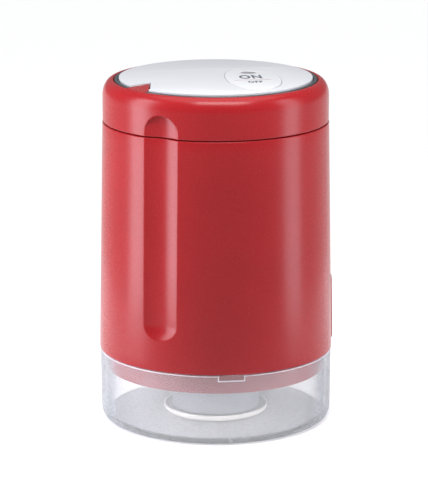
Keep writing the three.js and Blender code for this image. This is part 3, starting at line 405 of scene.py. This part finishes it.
def surface(name, colour, roughness, metallic=0.0, grain=2500, bump=0.08, bump_mm=0.01, vary=0.06,
            rough_vary=0.05, coat=0.0, stretch=(1, 1, 1), specular=0.5):
    """A moulded or machined surface: fine grain in the bump and the gloss, slow change in the colour."""
    material, nodes, links, shader = new_material(name)
    shader.inputs["Metallic"].default_value = metallic
    shader.inputs["Coat Weight"].default_value = coat
    shader.inputs["Coat Roughness"].default_value = COAT_ROUGHNESS
    shader.inputs["Specular IOR Level"].default_value = specular
    slow = noise(nodes, links, SLOW_CHANGE, 3)
    dark = [c * (1 - vary) for c in colour]
    light = [min(1, c * (1 + vary)) for c in colour]
    links.new(tint(nodes, links, slow, dark, light), shader.inputs["Base Color"])
    fine = noise(nodes, links, grain, 3, 0.6, stretch)
    gloss = spread(nodes, links, fine, roughness - rough_vary, roughness + rough_vary)
    links.new(gloss, shader.inputs["Roughness"])
    add_bump(nodes, links, shader, fine, bump, bump_mm * MM)
    return material


# How the cup plastic changes from face-on (0) to edge-on (1): its colour darkens to a painted edge shade and
# it grows more opaque
EDGE_SHADE_FROM, EDGE_SHADE_TO = 0.2, 0.88
CLOSE_UP_FROM, CLOSE_UP_TO = 0.45, 0.97
EDGE_OPACITY = 0.9
CUP_SPECULAR = 0.3


def frosted_plastic(name, opacity, dark, light, deep):
    """Translucent cup plastic: see-through and milky, more opaque seen edge-on, where its colour darkens to
    deep, a painted edge shade.
    """
    material, nodes, links, shader = new_material(name)
    shader.inputs["Specular IOR Level"].default_value = CUP_SPECULAR
    cloud = noise(nodes, links, 45, 3)
    milky = tint(nodes, links, cloud, dark, light)
    edge_on = nodes.new("ShaderNodeLayerWeight")
    edge_on.inputs["Blend"].default_value = 0.5
    # Painted shade: the colour darkens towards deep as the surface turns edge-on
    depth = nodes.new("ShaderNodeMapRange")
    depth.interpolation_type = "SMOOTHSTEP"
    depth.inputs["From Min"].default_value = EDGE_SHADE_FROM
    depth.inputs["From Max"].default_value = EDGE_SHADE_TO
    links.new(edge_on.outputs["Facing"], depth.inputs["Value"])
    painted_edge_shade = nodes.new("ShaderNodeMix")
    painted_edge_shade.data_type = "RGBA"
    painted_edge_shade.inputs["B"].default_value = (*deep, 1)
    links.new(depth.outputs["Result"], painted_edge_shade.inputs["Factor"])
    links.new(milky, painted_edge_shade.inputs["A"])
    links.new(painted_edge_shade.outputs["Result"], shader.inputs["Base Color"])
    closed_up = nodes.new("ShaderNodeMapRange")
    closed_up.interpolation_type = "SMOOTHSTEP"
    closed_up.inputs["From Min"].default_value = CLOSE_UP_FROM
    closed_up.inputs["From Max"].default_value = CLOSE_UP_TO
    closed_up.inputs["To Min"].default_value = opacity
    closed_up.inputs["To Max"].default_value = EDGE_OPACITY
    links.new(edge_on.outputs["Facing"], closed_up.inputs["Value"])
    links.new(closed_up.outputs["Result"], shader.inputs["Alpha"])
    fine = noise(nodes, links, 1600, 3)
    links.new(spread(nodes, links, fine, 0.22, 0.32), shader.inputs["Roughness"])
    add_bump(nodes, links, shader, fine, 0.06, 0.01 * MM)
    return material


def clear_lens():
    material, nodes, links, shader = new_material("clear_lens")
    shader.inputs["IOR"].default_value = 1.49
    fine = noise(nodes, links, 900, 2)
    colour = tint(nodes, links, fine, (0.17, 0.17, 0.18), (0.22, 0.22, 0.23))
    links.new(colour, shader.inputs["Base Color"])
    links.new(spread(nodes, links, fine, 0.30, 0.38), shader.inputs["Roughness"])
    return material


def felt():
    material, nodes, links, shader = new_material("felt")
    fibre = noise(nodes, links, 1400, 6, 0.75, (1, 1, 0.2))
    colour = tint(nodes, links, fibre, (0.55, 0.53, 0.48), (0.80, 0.78, 0.72))
    links.new(colour, shader.inputs["Base Color"])
    links.new(spread(nodes, links, fibre, 0.85, 1.0), shader.inputs["Roughness"])
    add_bump(nodes, links, shader, fibre, 0.5, 0.1 * MM)
    return material


MATERIALS = {
    "red": surface("red_plastic", (0.248, 0.0085, 0.0110), 0.26, grain=3000, bump=0.05, bump_mm=0.006,
                   vary=0.03, specular=0.21),
    # deep is the painted edge shade that each cup material darkens to when seen edge-on
    "frosted": frosted_plastic("frosted_plastic", 0.16, dark=(0.64, 0.66, 0.69),
                               light=(0.70, 0.72, 0.75), deep=(0.20, 0.22, 0.24)),
    # A lighter, more opaque copy of the cup plastic for the rim and notch edges: painted highlight
    "frosted_painted_highlight": frosted_plastic("frosted_painted_highlight", 0.7, dark=(0.80, 0.80, 0.86),
                                    light=(0.86, 0.86, 0.90), deep=(0.5, 0.5, 0.56)),
    # A whiter, more opaque copy of the cup plastic for the cup's floor: painted light
    "frosted_floor_painted_light": frosted_plastic("frosted_floor_painted_light", 0.85, dark=(0.90, 0.88, 0.85),
                                     light=(0.95, 0.93, 0.90), deep=(0.62, 0.62, 0.64)),
    "jack": surface("red_rubber", (0.235, 0.0085, 0.0110), 0.42, grain=2200, bump=0.1, vary=0.04,
                    specular=0.3),
    "bezel": surface("bezel_plastic", (0.026, 0.038, 0.042), 0.3, grain=2600, bump=0.05, specular=0.35),
    "plate": surface("plate_gloss", (0.43, 0.44, 0.46), 0.50, grain=3200, bump=0.03, bump_mm=0.004,
                     vary=0.01, rough_vary=0.02, specular=0.8),
    "key": surface("key_gloss", (0.47, 0.475, 0.49), 0.46, grain=3200, bump=0.03, bump_mm=0.004,
                   vary=0.01, rough_vary=0.02, specular=0.8),
    "lens": clear_lens(),
    "ink": surface("print_ink", (0.10, 0.105, 0.12), 0.45, grain=2600, bump=0.05, specular=0.0),
    "rule": surface("print_rule", (0.34, 0.20, 0.22), 0.5, grain=2600, bump=0.05, specular=0.0),
    "nozzle": surface("grey_nylon", (0.27, 0.275, 0.30), 0.45, grain=1800, bump=0.12),
    "silicone": surface("white_silicone", (0.74, 0.72, 0.68), 0.5, grain=2000, bump=0.08, specular=0.35),
    "felt": felt(),
    "acetal": surface("natural_acetal", (0.72, 0.69, 0.60), 0.4, grain=1500, bump=0.1),
    "black": surface("black_plastic", (0.018, 0.018, 0.020), 0.42, grain=1700, bump=0.14),
    "rubber": surface("black_rubber", (0.015, 0.015, 0.015), 0.62, grain=1900, bump=0.14, specular=0.3),
    "steel": surface("bright_steel", (0.60, 0.61, 0.63), 0.26, metallic=1, grain=900, bump=0.1,
                     stretch=(1, 1, 14)),
    "brass": surface("machined_brass", (0.72, 0.52, 0.22), 0.28, metallic=1, grain=900, bump=0.1,
                     stretch=(1, 1, 14)),
    "board": surface("circuit_board", (0.02, 0.16, 0.07), 0.38, grain=700, bump=0.2, vary=0.15,
                     coat=0.4),
    "cell": surface("cell_sleeve", (0.05, 0.16, 0.42), 0.3, grain=1200, bump=0.08, coat=0.3),
}
CAD_FINISHES = {
    "cup_frosted": "frosted", "shell_red": "red", "jack_red": "jack", "bezel_dark": "bezel",
    "plate_pale": "plate", "lens_clear": "lens", "nozzle_grey": "nozzle", "gasket_white": "silicone",
    "filter_felt": "felt",
    "nylon_natural": "acetal", "plastic_black": "black", "rubber_black": "rubber", "steel": "steel",
    "brass": "brass", "board_green": "board", "cell_blue": "cell",
}
for part in frame["record"]["subparts"]:
    node = frame["nodes"][part["node"]]
    node.data.materials.clear()
    node.data.materials.append(MATERIALS[CAD_FINISHES[part["material_slot"]]])
    node.data.polygons.foreach_set("material_index", [0] * len(node.data.polygons))


def dress(piece, finish, body, slot, *nodes):
    """Gives a piece its material and body and hides the CAD nodes it stands for; the record slot is not
    used.
    """
    piece.data.materials.clear()
    piece.data.materials.append(MATERIALS[finish])
    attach(piece, body)
    if nodes:
        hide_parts(*nodes)
    return piece


# ---- Grip groove, as a depth pressed into the shell and the cap ----
def groove_depth(angle, r, z):
    """Depth of the groove below the outer surface, with slightly eased edges."""
    half = GROOVE_WIDTH / 2
    turned = angle - math.radians(GROOVE_ANGLE)
    across = r * math.sin(turned)
    if r < CAP_RADIUS - GROOVED_SKIN or math.cos(turned) < 0 or abs(across) > half + GROOVE_MARGIN:
        return 0
    along = min(max((z - GROOVE_BOTTOM) / GROOVE_RUNOUT, -1), 1)
    floor = GROOVE_DEPTH * (1 - (1 - along) ** 2) if along < 1 else GROOVE_DEPTH
    depth = floor - GROOVE_DEPTH * (across / half) ** 2
    arch_centre = GROOVE_TOP - half
    if z > arch_centre:
        to_arch = half - math.hypot(across, z - arch_centre)
        depth = min(depth, to_arch * GROOVE_WALL_SLOPE)
    return (depth + math.sqrt(depth ** 2 + GROOVE_EDGE_ROUND ** 2)) / 2 if depth > -2 else 0


def grooved_angles():
    """Angles round the body: close together across the groove, wider elsewhere."""
    centre = math.radians(GROOVE_ANGLE)
    edge = math.asin(GROOVE_WIDTH / 2 / CAP_RADIUS)
    steps = range(-GROOVE_STEPS_WITH_MARGIN, GROOVE_STEPS_WITH_MARGIN + 1)
    fine = [centre + edge * (i / GROOVE_STEPS) for i in steps]
    span = fine[0] + 2 * math.pi - fine[-1]
    coarse = [fine[-1] + span * i / PLAIN_STEPS for i in range(1, PLAIN_STEPS)]
    return fine + coarse


def heights(*stops):
    """Heights between stops given as (height, step) pairs, each step used up to the next stop."""
    found = []
    for (low, step), (high, _) in zip(stops, stops[1:]):
        count = max(1, round((high - low) / step))
        found += [low + (high - low) * i / count for i in range(count)]
    return found + [stops[-1][0]]


# ---- Housing ----
def housing():
    runout_top = GROOVE_BOTTOM + GROOVE_RUNOUT
    side = heights((SHELL_BOTTOM + 0.5, 3), (GROOVE_BOTTOM - 1.2, 0.3), (runout_top + 1, 4),
                   (SHELL_TOP - 0.4, 1))
    profile = [
        (SPIGOT_INNER, SPIGOT_BOTTOM + 0.2), (SPIGOT_INNER + 0.2, SPIGOT_BOTTOM),
        *eased(SPIGOT_RADIUS, SPIGOT_BOTTOM, SPIGOT_FOOT_EASE),
        (SPIGOT_RADIUS, SHELL_BOTTOM - 0.02), (SPIGOT_RADIUS + 0.05, SHELL_BOTTOM),
        *eased(SHELL_RADIUS, SHELL_BOTTOM, SHELL_FOOT_EASE),
        *[(shell_radius(z), z) for z in side],
        *eased(SHELL_TOP_RADIUS, SHELL_TOP, SHELL_TOP_EASE),
        (SHELL_INNER_TOP, SHELL_TOP), (SHELL_INNER_FOOT, SHELL_WALL_FOOT), (LEDGE_RADIUS, LEDGE_TOP),
        (LEDGE_RADIUS, LEDGE_BOTTOM), (SPIGOT_INNER, LEDGE_BOTTOM),
    ]
    shell = revolve("housing", profile, grooved_angles(), dent=groove_depth)
    pocket = jack_block("pocket", JACK_GAP, JACK_POCKET_DEPTH, POCKET_PROUD)
    bore = jack_bore("bore", JACK_BORE_RADIUS, *JACK_BORE_SPAN)
    return dress(carve(shell, pocket, bore), "red", "main", "shell_red", "body_shell")


def jack_block(name, extra, inner, proud):
    """The jack cover's block: a curved slab with rounded corners, or the pocket it sits in."""
    half = JACK_COVER_WIDTH / 2 + extra
    low, high = JACK_COVER_BOTTOM - extra, JACK_COVER_TOP + extra
    radius = JACK_CORNER + extra
    outline = []
    for cx, cz, start in ((half, high, 0), (-half, high, 90), (-half, low, 180), (half, low, 270)):
        for k in range(7):
            t = math.radians(start + 15 * k)
            outline.append((cx - math.copysign(radius, cx) + radius * math.cos(t),
                            cz - math.copysign(radius, cz - JACK_Z) + radius * math.sin(t)))
    columns = [half * (2 * i / JACK_COLUMNS - 1) for i in range(JACK_COLUMNS + 1)]
    turn = Matrix.Rotation(math.radians(JACK_ANGLE - 90), 3, "Z")
    vertices = []
    for x in columns:
        inside = sorted(edge_heights(outline, x))
        low_z, high_z = inside[0], inside[-1]
        for k in range(JACK_ROWS + 1):
            z = low_z + (high_z - low_z) * k / JACK_ROWS
            for depth in (-inner, proud):
                r = shell_radius(z) + depth
                vertices.append(tuple(turn @ Vector((math.sqrt(r * r - x * x), x, z))))
    rows = 2 * (JACK_ROWS + 1)
    faces = []
    for i in range(JACK_COLUMNS):
        a, b = i * rows, (i + 1) * rows
        for k in range(JACK_ROWS):
            j = 2 * k
            faces.append((a + j + 1, b + j + 1, b + j + 3, a + j + 3))
            faces.append((a + j, a + j + 2, b + j + 2, b + j))
        faces.append((a, b, b + 1, a + 1))
        faces.append((a + rows - 2, a + rows - 1, b + rows - 1, b + rows - 2))
    for base in (0, JACK_COLUMNS * rows):
        for k in range(JACK_ROWS):
            j = base + 2 * k
            faces.append((j, j + 1, j + 3, j + 2))
    return finish_mesh(name, vertices, faces, BLOCK_SHARP_DEGREES)


def edge_heights(outline, x):
    """Heights at which a closed outline crosses a vertical line."""
    found = []
    for (x0, z0), (x1, z1) in zip(outline, outline[1:] + outline[:1]):
        if not min(x0, x1) - TINY <= x <= max(x0, x1) + TINY:
            continue
        if abs(x1 - x0) < TINY:
            found += [z0, z1]
        else:
            found.append(z0 + (z1 - z0) * ((x - x0) / (x1 - x0)))
    return found


def jack_bore(name, radius, near, far, count=SMALL_ROUND):
    """A round bar lying along the jack's bearing, from one distance to another."""
    turn = Matrix.Rotation(math.radians(JACK_ANGLE - 90), 3, "Z")
    vertices = []
    for distance in (near, far):
        for y, z in circle(radius, (0, JACK_Z), count):
            vertices.append(tuple(turn @ Vector((distance, y, z))))
    faces = [tuple(range(count - 1, -1, -1)), tuple(range(count, 2 * count))]
    faces += [(i, (i + 1) % count, count + (i + 1) % count, count + i) for i in range(count)]
    return finish_mesh(name, vertices, faces, BLOCK_SHARP_DEGREES)


def port_cover():
    cover = jack_block("port_cover", 0, JACK_POCKET_DEPTH - JACK_GAP, JACK_COVER_PROUD)
    bevel = cover.modifiers.new("edge", "BEVEL")
    bevel.width = JACK_COVER_EDGE * MM
    bevel.segments = 3
    bevel.limit_method = "ANGLE"
    bevel.angle_limit = math.radians(SLAB_SHARP_DEGREES)
    plug = jack_bore("plug", JACK_PLUG_RADIUS, *JACK_PLUG_SPAN)
    carve(cover, plug, operation="UNION")
    return dress(cover, "jack", "jack_flap", "jack_red", "jack_cover")


def cap():
    crown = rounded([
        (CAP_LEDGE_RADIUS, CAP_LEDGE_BOTTOM, 0), (CAP_SPIGOT_INNER, CAP_LEDGE_BOTTOM, 0),
        (CAP_SPIGOT_INNER, CAP_SPIGOT_BOTTOM, 0.3), (CAP_SPIGOT_RADIUS, CAP_SPIGOT_BOTTOM, 0.3),
        (CAP_SPIGOT_RADIUS, CAP_BOTTOM, 0),
    ])
    edge_bottom = CAP_TOP - CAP_EDGE_HEIGHT
    side = [(CAP_RADIUS, z) for z in heights((CAP_BOTTOM + 0.4, 0.28), (edge_bottom, 1))]
    foot = eased(CAP_RADIUS, CAP_BOTTOM, CAP_FOOT_EASE)
    shoulder = []
    for k in range(1, SHOULDER_STEPS + 1):
        t = math.radians(90 * k / SHOULDER_STEPS)
        r = CAP_RADIUS - CAP_EDGE_WIDTH * (1 - math.cos(t))
        shoulder.append((r, edge_bottom + CAP_EDGE_HEIGHT * math.sin(t)))
    mouth = eased(CAP_MOUTH, CAP_TOP, CAP_MOUTH_EASE)
    mouth += [(CAP_MOUTH, CAP_LEDGE_TOP), (CAP_LEDGE_RADIUS, CAP_LEDGE_TOP)]
    piece = revolve("cap", crown + foot + side + shoulder + mouth, grooved_angles(), dent=groove_depth)
    tab = outline_slab("tab", [tab_outline(0)], PLATE_BOTTOM, TAB_TOP, TAB_EDGE)
    slope_tab(tab)
    carve(piece, tab, operation="UNION")
    for polygon in piece.data.polygons:
        if polygon.normal.z > 0.99 and polygon.center.xy.length / MM < CAP_MOUTH - 0.5:
            polygon.use_smooth = False
    return dress(piece, "red", "main", "shell_red", "top_cap")


def slope_tab(tab):
    """Lowers the tab's top evenly from its point down to the cap's rim."""
    first, tip, last = (Vector(c) for c in TAB_CORNERS)
    slope = ((first + last) / 2 - tip).normalized()
    upper = [v for v in tab.data.vertices if v.co.z / MM > PLATE_BOTTOM + 0.5]
    runs = [(v.co.xy / MM - tip).dot(slope) for v in upper]
    for vertex, run in zip(upper, runs):
        vertex.co.z -= (TAB_TOP - CAP_TOP) * run / max(runs) * MM


def tab_outline(gap):
    """The index tab's outline, from the cap's rim to its point, grown by a gap."""
    first, point, last = (Vector(c) for c in TAB_CORNERS)
    centre = (first + point + last) / 3
    tip = point + (point - centre).normalized() * gap * 2
    side_first = (point - first).normalized()
    side_last = (point - last).normalized()
    normal_first = Vector((side_first.y, -side_first.x))
    normal_last = Vector((-side_last.y, side_last.x))
    rim = CAP_MOUTH + 0.5
    start = first + normal_first * gap
    end = last + normal_last * gap
    outline = (tip, end, end.normalized() * rim, start.normalized() * rim, start)
    return [tuple(point) for point in outline]


def bezel():
    low, seat = CAP_LEDGE_TOP + FIT, PLATE_BOTTOM - FIT
    profile = rounded([
        (CAP_LEDGE_RADIUS, low, 0.2), (BEZEL_RADIUS, low, 0.2), (BEZEL_RADIUS, BEZEL_TOP, 0.25),
        (BEZEL_INNER, BEZEL_TOP, 0.2), (BEZEL_INNER, seat, 0.05), (CAP_LEDGE_RADIUS, seat, 0.2),
    ], 4)
    ring = revolve("bezel", profile)
    passage = outline_slab("passage", [tab_outline(TAB_GAP)], seat, PLATE_TOP + 1, CUTTER_EDGE)
    return dress(carve(ring, passage), "bezel", "main", "bezel_dark", "bezel_ring")


def panel():
    key_hole = ellipse(KEY_HALF.x + KEY_SIDE_GAP, KEY_HALF.y + KEY_END_GAP, KEY_CENTRE)
    plate = outline_slab("panel", [circle(PLATE_RADIUS), key_hole], PLATE_BOTTOM, PLATE_TOP, PANEL_EDGE)
    notch = outline_slab("notch", [tab_outline(TAB_GAP)], PLATE_BOTTOM - 1, PLATE_TOP + 1, CUTTER_EDGE)
    return dress(carve(plate, notch), "plate", "main", "plate_pale", "top_plate")


# ---- Key, light and its markings ----
def key():
    lens_hole = circle(LENS_RADIUS + LENS_GAP, LENS_CENTRE, SMALL_ROUND)
    outlines = [ellipse(KEY_HALF.x, KEY_HALF.y, KEY_CENTRE), lens_hole]
    face = outline_slab("key", outlines, KEY_TOP - KEY_THICKNESS, KEY_TOP, KEY_EDGE, 4)
    x, y = KEY_CENTRE
    under = KEY_TOP - 1
    stem = block("stem", (x - 1.2, x + 1.2), (y - 1.5, y + 1.5), (KEY_PIVOT - 4, under))
    lugs = [
        block("lug", (x + side - 1, x + side + 1), (y - 2.2, y + 2.2), (KEY_PIVOT - 2.2, under))
        for side in (-5.5, 5.5)
    ]
    carve(face, stem, *lugs, operation="UNION")
    return dress(face, "key", "rocker", "plate_pale", "rocker_key")


def lens():
    foot, spring = KEY_TOP - KEY_THICKNESS, KEY_TOP - LENS_DOME
    profile = [(0, foot), (LENS_RADIUS, foot), (LENS_RADIUS, spring)]
    for k in range(1, DOME_STEPS + 1):
        t = math.radians(90 * k / DOME_STEPS)
        profile.append((LENS_RADIUS * math.cos(t), spring + LENS_DOME * math.sin(t)))
    angles = [2 * math.pi * i / SMALL_ROUND for i in range(SMALL_ROUND)]
    dome = revolve("lens", profile, angles, closed=False)
    dome.data.transform(Matrix.Translation((LENS_CENTRE.x * MM, LENS_CENTRE.y * MM, 0)))
    return dress(dome, "lens", "rocker", "lens_clear", "key_lens")


PRINT_SPACING = 1.15
PRINT_THICKNESS = 0.01
PRINT_BOLDEN = 0.34
PRINT_LIFT = 0.015


def print_word(name, word, centre, width, depth):
    """A word printed on the key, a hair above its face, at a given width and letter height."""
    text = bpy.data.curves.new(name, "FONT")
    text.body = word
    text.align_x = "CENTER"
    text.align_y = "CENTER"
    text.space_character = PRINT_SPACING
    text.extrude = PRINT_THICKNESS * MM
    text.offset = PRINT_BOLDEN * MM
    text.size = 10 * MM
    holder = bpy.data.objects.new(name + "_text", text)
    bpy.context.scene.collection.objects.link(holder)
    bpy.context.view_layer.update()
    data = bpy.data.meshes.new_from_object(holder)
    bpy.data.objects.remove(holder)
    places = [v.co for v in data.vertices]
    wide, deep = (max(p[i] for p in places) - min(p[i] for p in places) for i in (0, 1))
    data.transform(Matrix.Diagonal((width * MM / wide, depth * MM / deep, 1, 1)))
    data.transform(Matrix.Translation((centre[0] * MM, centre[1] * MM, (KEY_TOP + PRINT_LIFT) * MM)))
    made = bpy.data.objects.new(name, data)
    bpy.context.scene.collection.objects.link(made)
    tidy_mesh(made)
    return dress(made, "ink", "rocker", "plate_pale")


def markings():
    x = KEY_CENTRE.x - 0.5
    print_word("mark_on", "ON", (x, -3.7), 7.6, 6.4)
    print_word("mark_off", "OFF", (x + 0.3, -12.8), 5, 3.6)
    half = 6.2
    low, high = -9.2, -8.8
    line = outline_slab(
        "mark_line", [[(x - half, low), (x + half, low), (x + half, high), (x - half, high)]],
        KEY_TOP + 0.005, KEY_TOP + 0.03, 0.005, 1,
    )
    dress(line, "rule", "rocker", "plate_pale")


# ---- Nozzle and cup ----
def nozzle():
    deck_top = BASE_PLATE_BOTTOM - FIT
    seat_radius, seat_floor = NOZZLE_STUB + O_RING_SEAT, deck_top - O_RING_DEPTH
    profile = rounded([
        (NOZZLE_PASSAGE, NOZZLE_DECK, 0.3), (NOZZLE_BORE, NOZZLE_DECK, 0.8),
        (NOZZLE_BORE, NOZZLE_MOUTH, 0.3), (NOZZLE_RADIUS, NOZZLE_MOUTH, 0.3), (NOZZLE_RADIUS, deck_top, 0.4),
        (seat_radius, deck_top, 0.2), (seat_radius, seat_floor, 0.1),
        (NOZZLE_STUB, seat_floor, 0.1), (NOZZLE_STUB, NOZZLE_STUB_TOP, 0.4),
        (NOZZLE_PASSAGE, NOZZLE_STUB_TOP, 0.3),
    ])
    return dress(revolve("nozzle", profile), "nozzle", "main", "nozzle_grey", "suction_nozzle")


def soft_ring():
    bottom = GASKET_BOTTOM
    lip_top, floor, collar_top = bottom + GASKET_LIP, bottom + GASKET_WALL, bottom + GASKET_COLLAR
    collar = NOZZLE_BORE - FIT
    bore = collar - GASKET_COLLAR_WALL
    profile = rounded([
        (bore, bottom, 0.3), (GASKET_RADIUS - 1, bottom, 0.5), (GASKET_RADIUS - 0.1, bottom + 0.8, 0.4),
        (GASKET_RADIUS, lip_top, 0.25), (GASKET_RADIUS - 0.7, lip_top, 0.25),
        (GASKET_RADIUS - 1.3, floor, 0.4), (collar, floor, 0.2), (collar, collar_top, 0.3),
        (bore, collar_top, 0.3),
    ])
    return dress(revolve("soft_ring", profile), "silicone", "main", "gasket_white", "nozzle_gasket")


PAINTED_HIGHLIGHT_SLOT, LIT_FLOOR_SLOT = 1, 2
NEAR = 0.01


def cup():
    outer = rounded([
        (0, 0, 0), (CUP_BASE_RADIUS, 0, CUP_FILLET), (CUP_RADIUS, CUP_TOP, CUP_LIP_ROUND),
        (CUP_RADIUS - CUP_WALL, CUP_TOP, CUP_LIP_ROUND),
        (CUP_BASE_RADIUS - CUP_WALL, CUP_FLOOR, CUP_INNER_FILLET), (0, CUP_FLOOR, 0),
    ], 8)
    bowl = revolve("cup", outer, closed=False)
    step = NOTCH_DEPTH - NOTCH_STEP
    half = NOTCH_WIDTH / 2
    notch = [
        block(name, (inset - half, half - inset), (-CUP_RADIUS - 1, depth - CUP_RADIUS),
              (CUP_TOP - NOTCH_HEIGHT + inset, CUP_TOP + 1))
        for name, inset, depth in (("notch_step", 0, step), ("notch", NOTCH_STEP, NOTCH_DEPTH))
    ]
    dress(carve(bowl, *notch), "frosted", "cup", "cup_frosted", "stand_cup")
    bowl.data.materials.append(MATERIALS["frosted_painted_highlight"])
    bowl.data.materials.append(MATERIALS["frosted_floor_painted_light"])
    # The rim top and the notch edges take the lighter copy of the plastic, a painted highlight
    for polygon in bowl.data.polygons:
        x, y, z = polygon.center / MM
        normal = polygon.normal
        in_width = abs(x) < NOTCH_WIDTH / 2 + NEAR
        in_notch = in_width and y < NOTCH_DEPTH - CUP_RADIUS and z > CUP_TOP - NOTCH_HEIGHT - NEAR
        notch_edge = normal.z > 0.9 or abs(normal.x) > 0.9 or y < step - CUP_RADIUS + NEAR
        if z > CUP_TOP - CUP_LIP_DEPTH and normal.z > 0.2 or in_notch and notch_edge:
            polygon.material_index = PAINTED_HIGHLIGHT_SLOT
        # The cup's floor takes the whiter copy of the plastic, painted light
        elif z < CUP_FLOOR + CUP_FLOOR_DEPTH and normal.z > 0.8:
            polygon.material_index = LIT_FLOOR_SLOT
    return bowl


# ---- Build ----
housing()
port_cover()
cap()
bezel()
panel()
key()
lens()
markings()
nozzle()
soft_ring()
cup()


# ---- Floor, light and camera ----
CAMERA_AZIMUTH = -7.7
CAMERA_PITCH = 13.76
CAMERA_DISTANCE = 1.0
CAMERA_HEIGHT = 0.303
CAMERA_LENS = 215.9
CAMERA_SHIFT = -0.0035
COOL_LIGHT = (1, 0.97, 1.06)
STRIP_TURN = 76
STRIP_AIM = (0, 0, 0.10)
LOW_STRIP_TURN = 100
SUN_STRENGTH = 2.3
SUN_WIDTH = 70
WORLD_COLOUR = (0.97, 0.98, 1, 1)
WORLD_STRENGTH = 0.32


def studio_floor():
    """A white paper floor."""
    bpy.ops.mesh.primitive_plane_add(size=8)
    floor = bpy.context.object
    floor.name = "studio_floor"
    material, nodes, links, shader = new_material("floor_paper")
    grain = noise(nodes, links, 900, 3)
    colour = tint(nodes, links, grain, (0.93, 0.93, 0.93), (0.95, 0.95, 0.95))
    links.new(colour, shader.inputs["Base Color"])
    links.new(spread(nodes, links, grain, 0.95, 1.0), shader.inputs["Roughness"])
    shader.inputs["Specular IOR Level"].default_value = 0
    floor.data.materials.append(material)


def softbox(name, azimuth, elevation, distance, size, radiance, aim, colour=(1, 1, 1), spread=180):
    """A rectangular area light, unseen by the camera, aimed at a point on the object."""
    light = bpy.data.lights.new(name, "AREA")
    light.shape = "RECTANGLE"
    light.size, light.size_y = size
    light.color = colour
    light.spread = math.radians(spread)
    light.energy = radiance * math.pi * size[0] * size[1]
    lamp = bpy.data.objects.new(name, light)
    bpy.context.scene.collection.objects.link(lamp)
    a, e = math.radians(azimuth), math.radians(elevation)
    offset = Vector((math.sin(a) * math.cos(e), -math.cos(a) * math.cos(e), math.sin(e))) * distance
    lamp.location = Vector(aim) + offset
    lamp.rotation_mode = "QUATERNION"
    lamp.rotation_quaternion = offset.to_track_quat("Z", "Y")
    lamp.visible_camera = False


def studio_lights():
    """Tall strips at the sides, a panel over the front edge, low lights for the cup and an even sky."""
    softbox("left_strip", CAMERA_AZIMUTH - STRIP_TURN, elevation=0, distance=0.22, size=(0.085, 0.36),
            radiance=10.3, aim=STRIP_AIM, colour=COOL_LIGHT)
    softbox("right_strip", CAMERA_AZIMUTH + STRIP_TURN, elevation=0, distance=0.22, size=(0.07, 0.36),
            radiance=6.2, aim=STRIP_AIM, colour=COOL_LIGHT)
    softbox("near_panel", CAMERA_AZIMUTH, elevation=59, distance=0.082, size=(0.08, 0.03), radiance=14,
            aim=(0.005, -0.037, 0.116))
    for side in (-LOW_STRIP_TURN, LOW_STRIP_TURN):
        softbox(f"low_strip_{side}", CAMERA_AZIMUTH + side, elevation=0, distance=0.13,
                size=(0.2, 0.024), radiance=0.5, aim=(0, 0, 0.0125), colour=COOL_LIGHT)
    softbox("low_front", CAMERA_AZIMUTH, elevation=4, distance=0.13, size=(0.2, 0.012), radiance=1.45,
            aim=(0, 0, 0.002), spread=22)
    sky = bpy.data.lights.new("sky", "SUN")
    sky.energy = SUN_STRENGTH
    sky.angle = math.radians(SUN_WIDTH)
    lamp = bpy.data.objects.new("sky", sky)
    bpy.context.scene.collection.objects.link(lamp)
    world = bpy.data.worlds.new("studio")
    bpy.context.scene.world = world
    world.use_nodes = True
    background = world.node_tree.nodes["Background"]
    background.inputs["Color"].default_value = WORLD_COLOUR
    background.inputs["Strength"].default_value = WORLD_STRENGTH


def photo_camera():
    """The photograph's view: a long lens, a little above the object and a little to its left."""
    data = bpy.data.cameras.new("camera")
    data.sensor_width = 36
    data.lens = CAMERA_LENS
    data.shift_x = CAMERA_SHIFT
    data.clip_start = 0.05
    data.clip_end = 20
    camera = bpy.data.objects.new("camera", data)
    bpy.context.scene.collection.objects.link(camera)
    azimuth = math.radians(CAMERA_AZIMUTH)
    across, back = math.sin(azimuth), math.cos(azimuth)
    camera.location = (CAMERA_DISTANCE * across, -CAMERA_DISTANCE * back, CAMERA_HEIGHT)
    camera.rotation_euler = (math.radians(90 - CAMERA_PITCH), 0, azimuth)
    bpy.context.scene.camera = camera


studio_floor()
studio_lights()
photo_camera()
bpy.context.scene.view_settings.view_transform = "Standard"
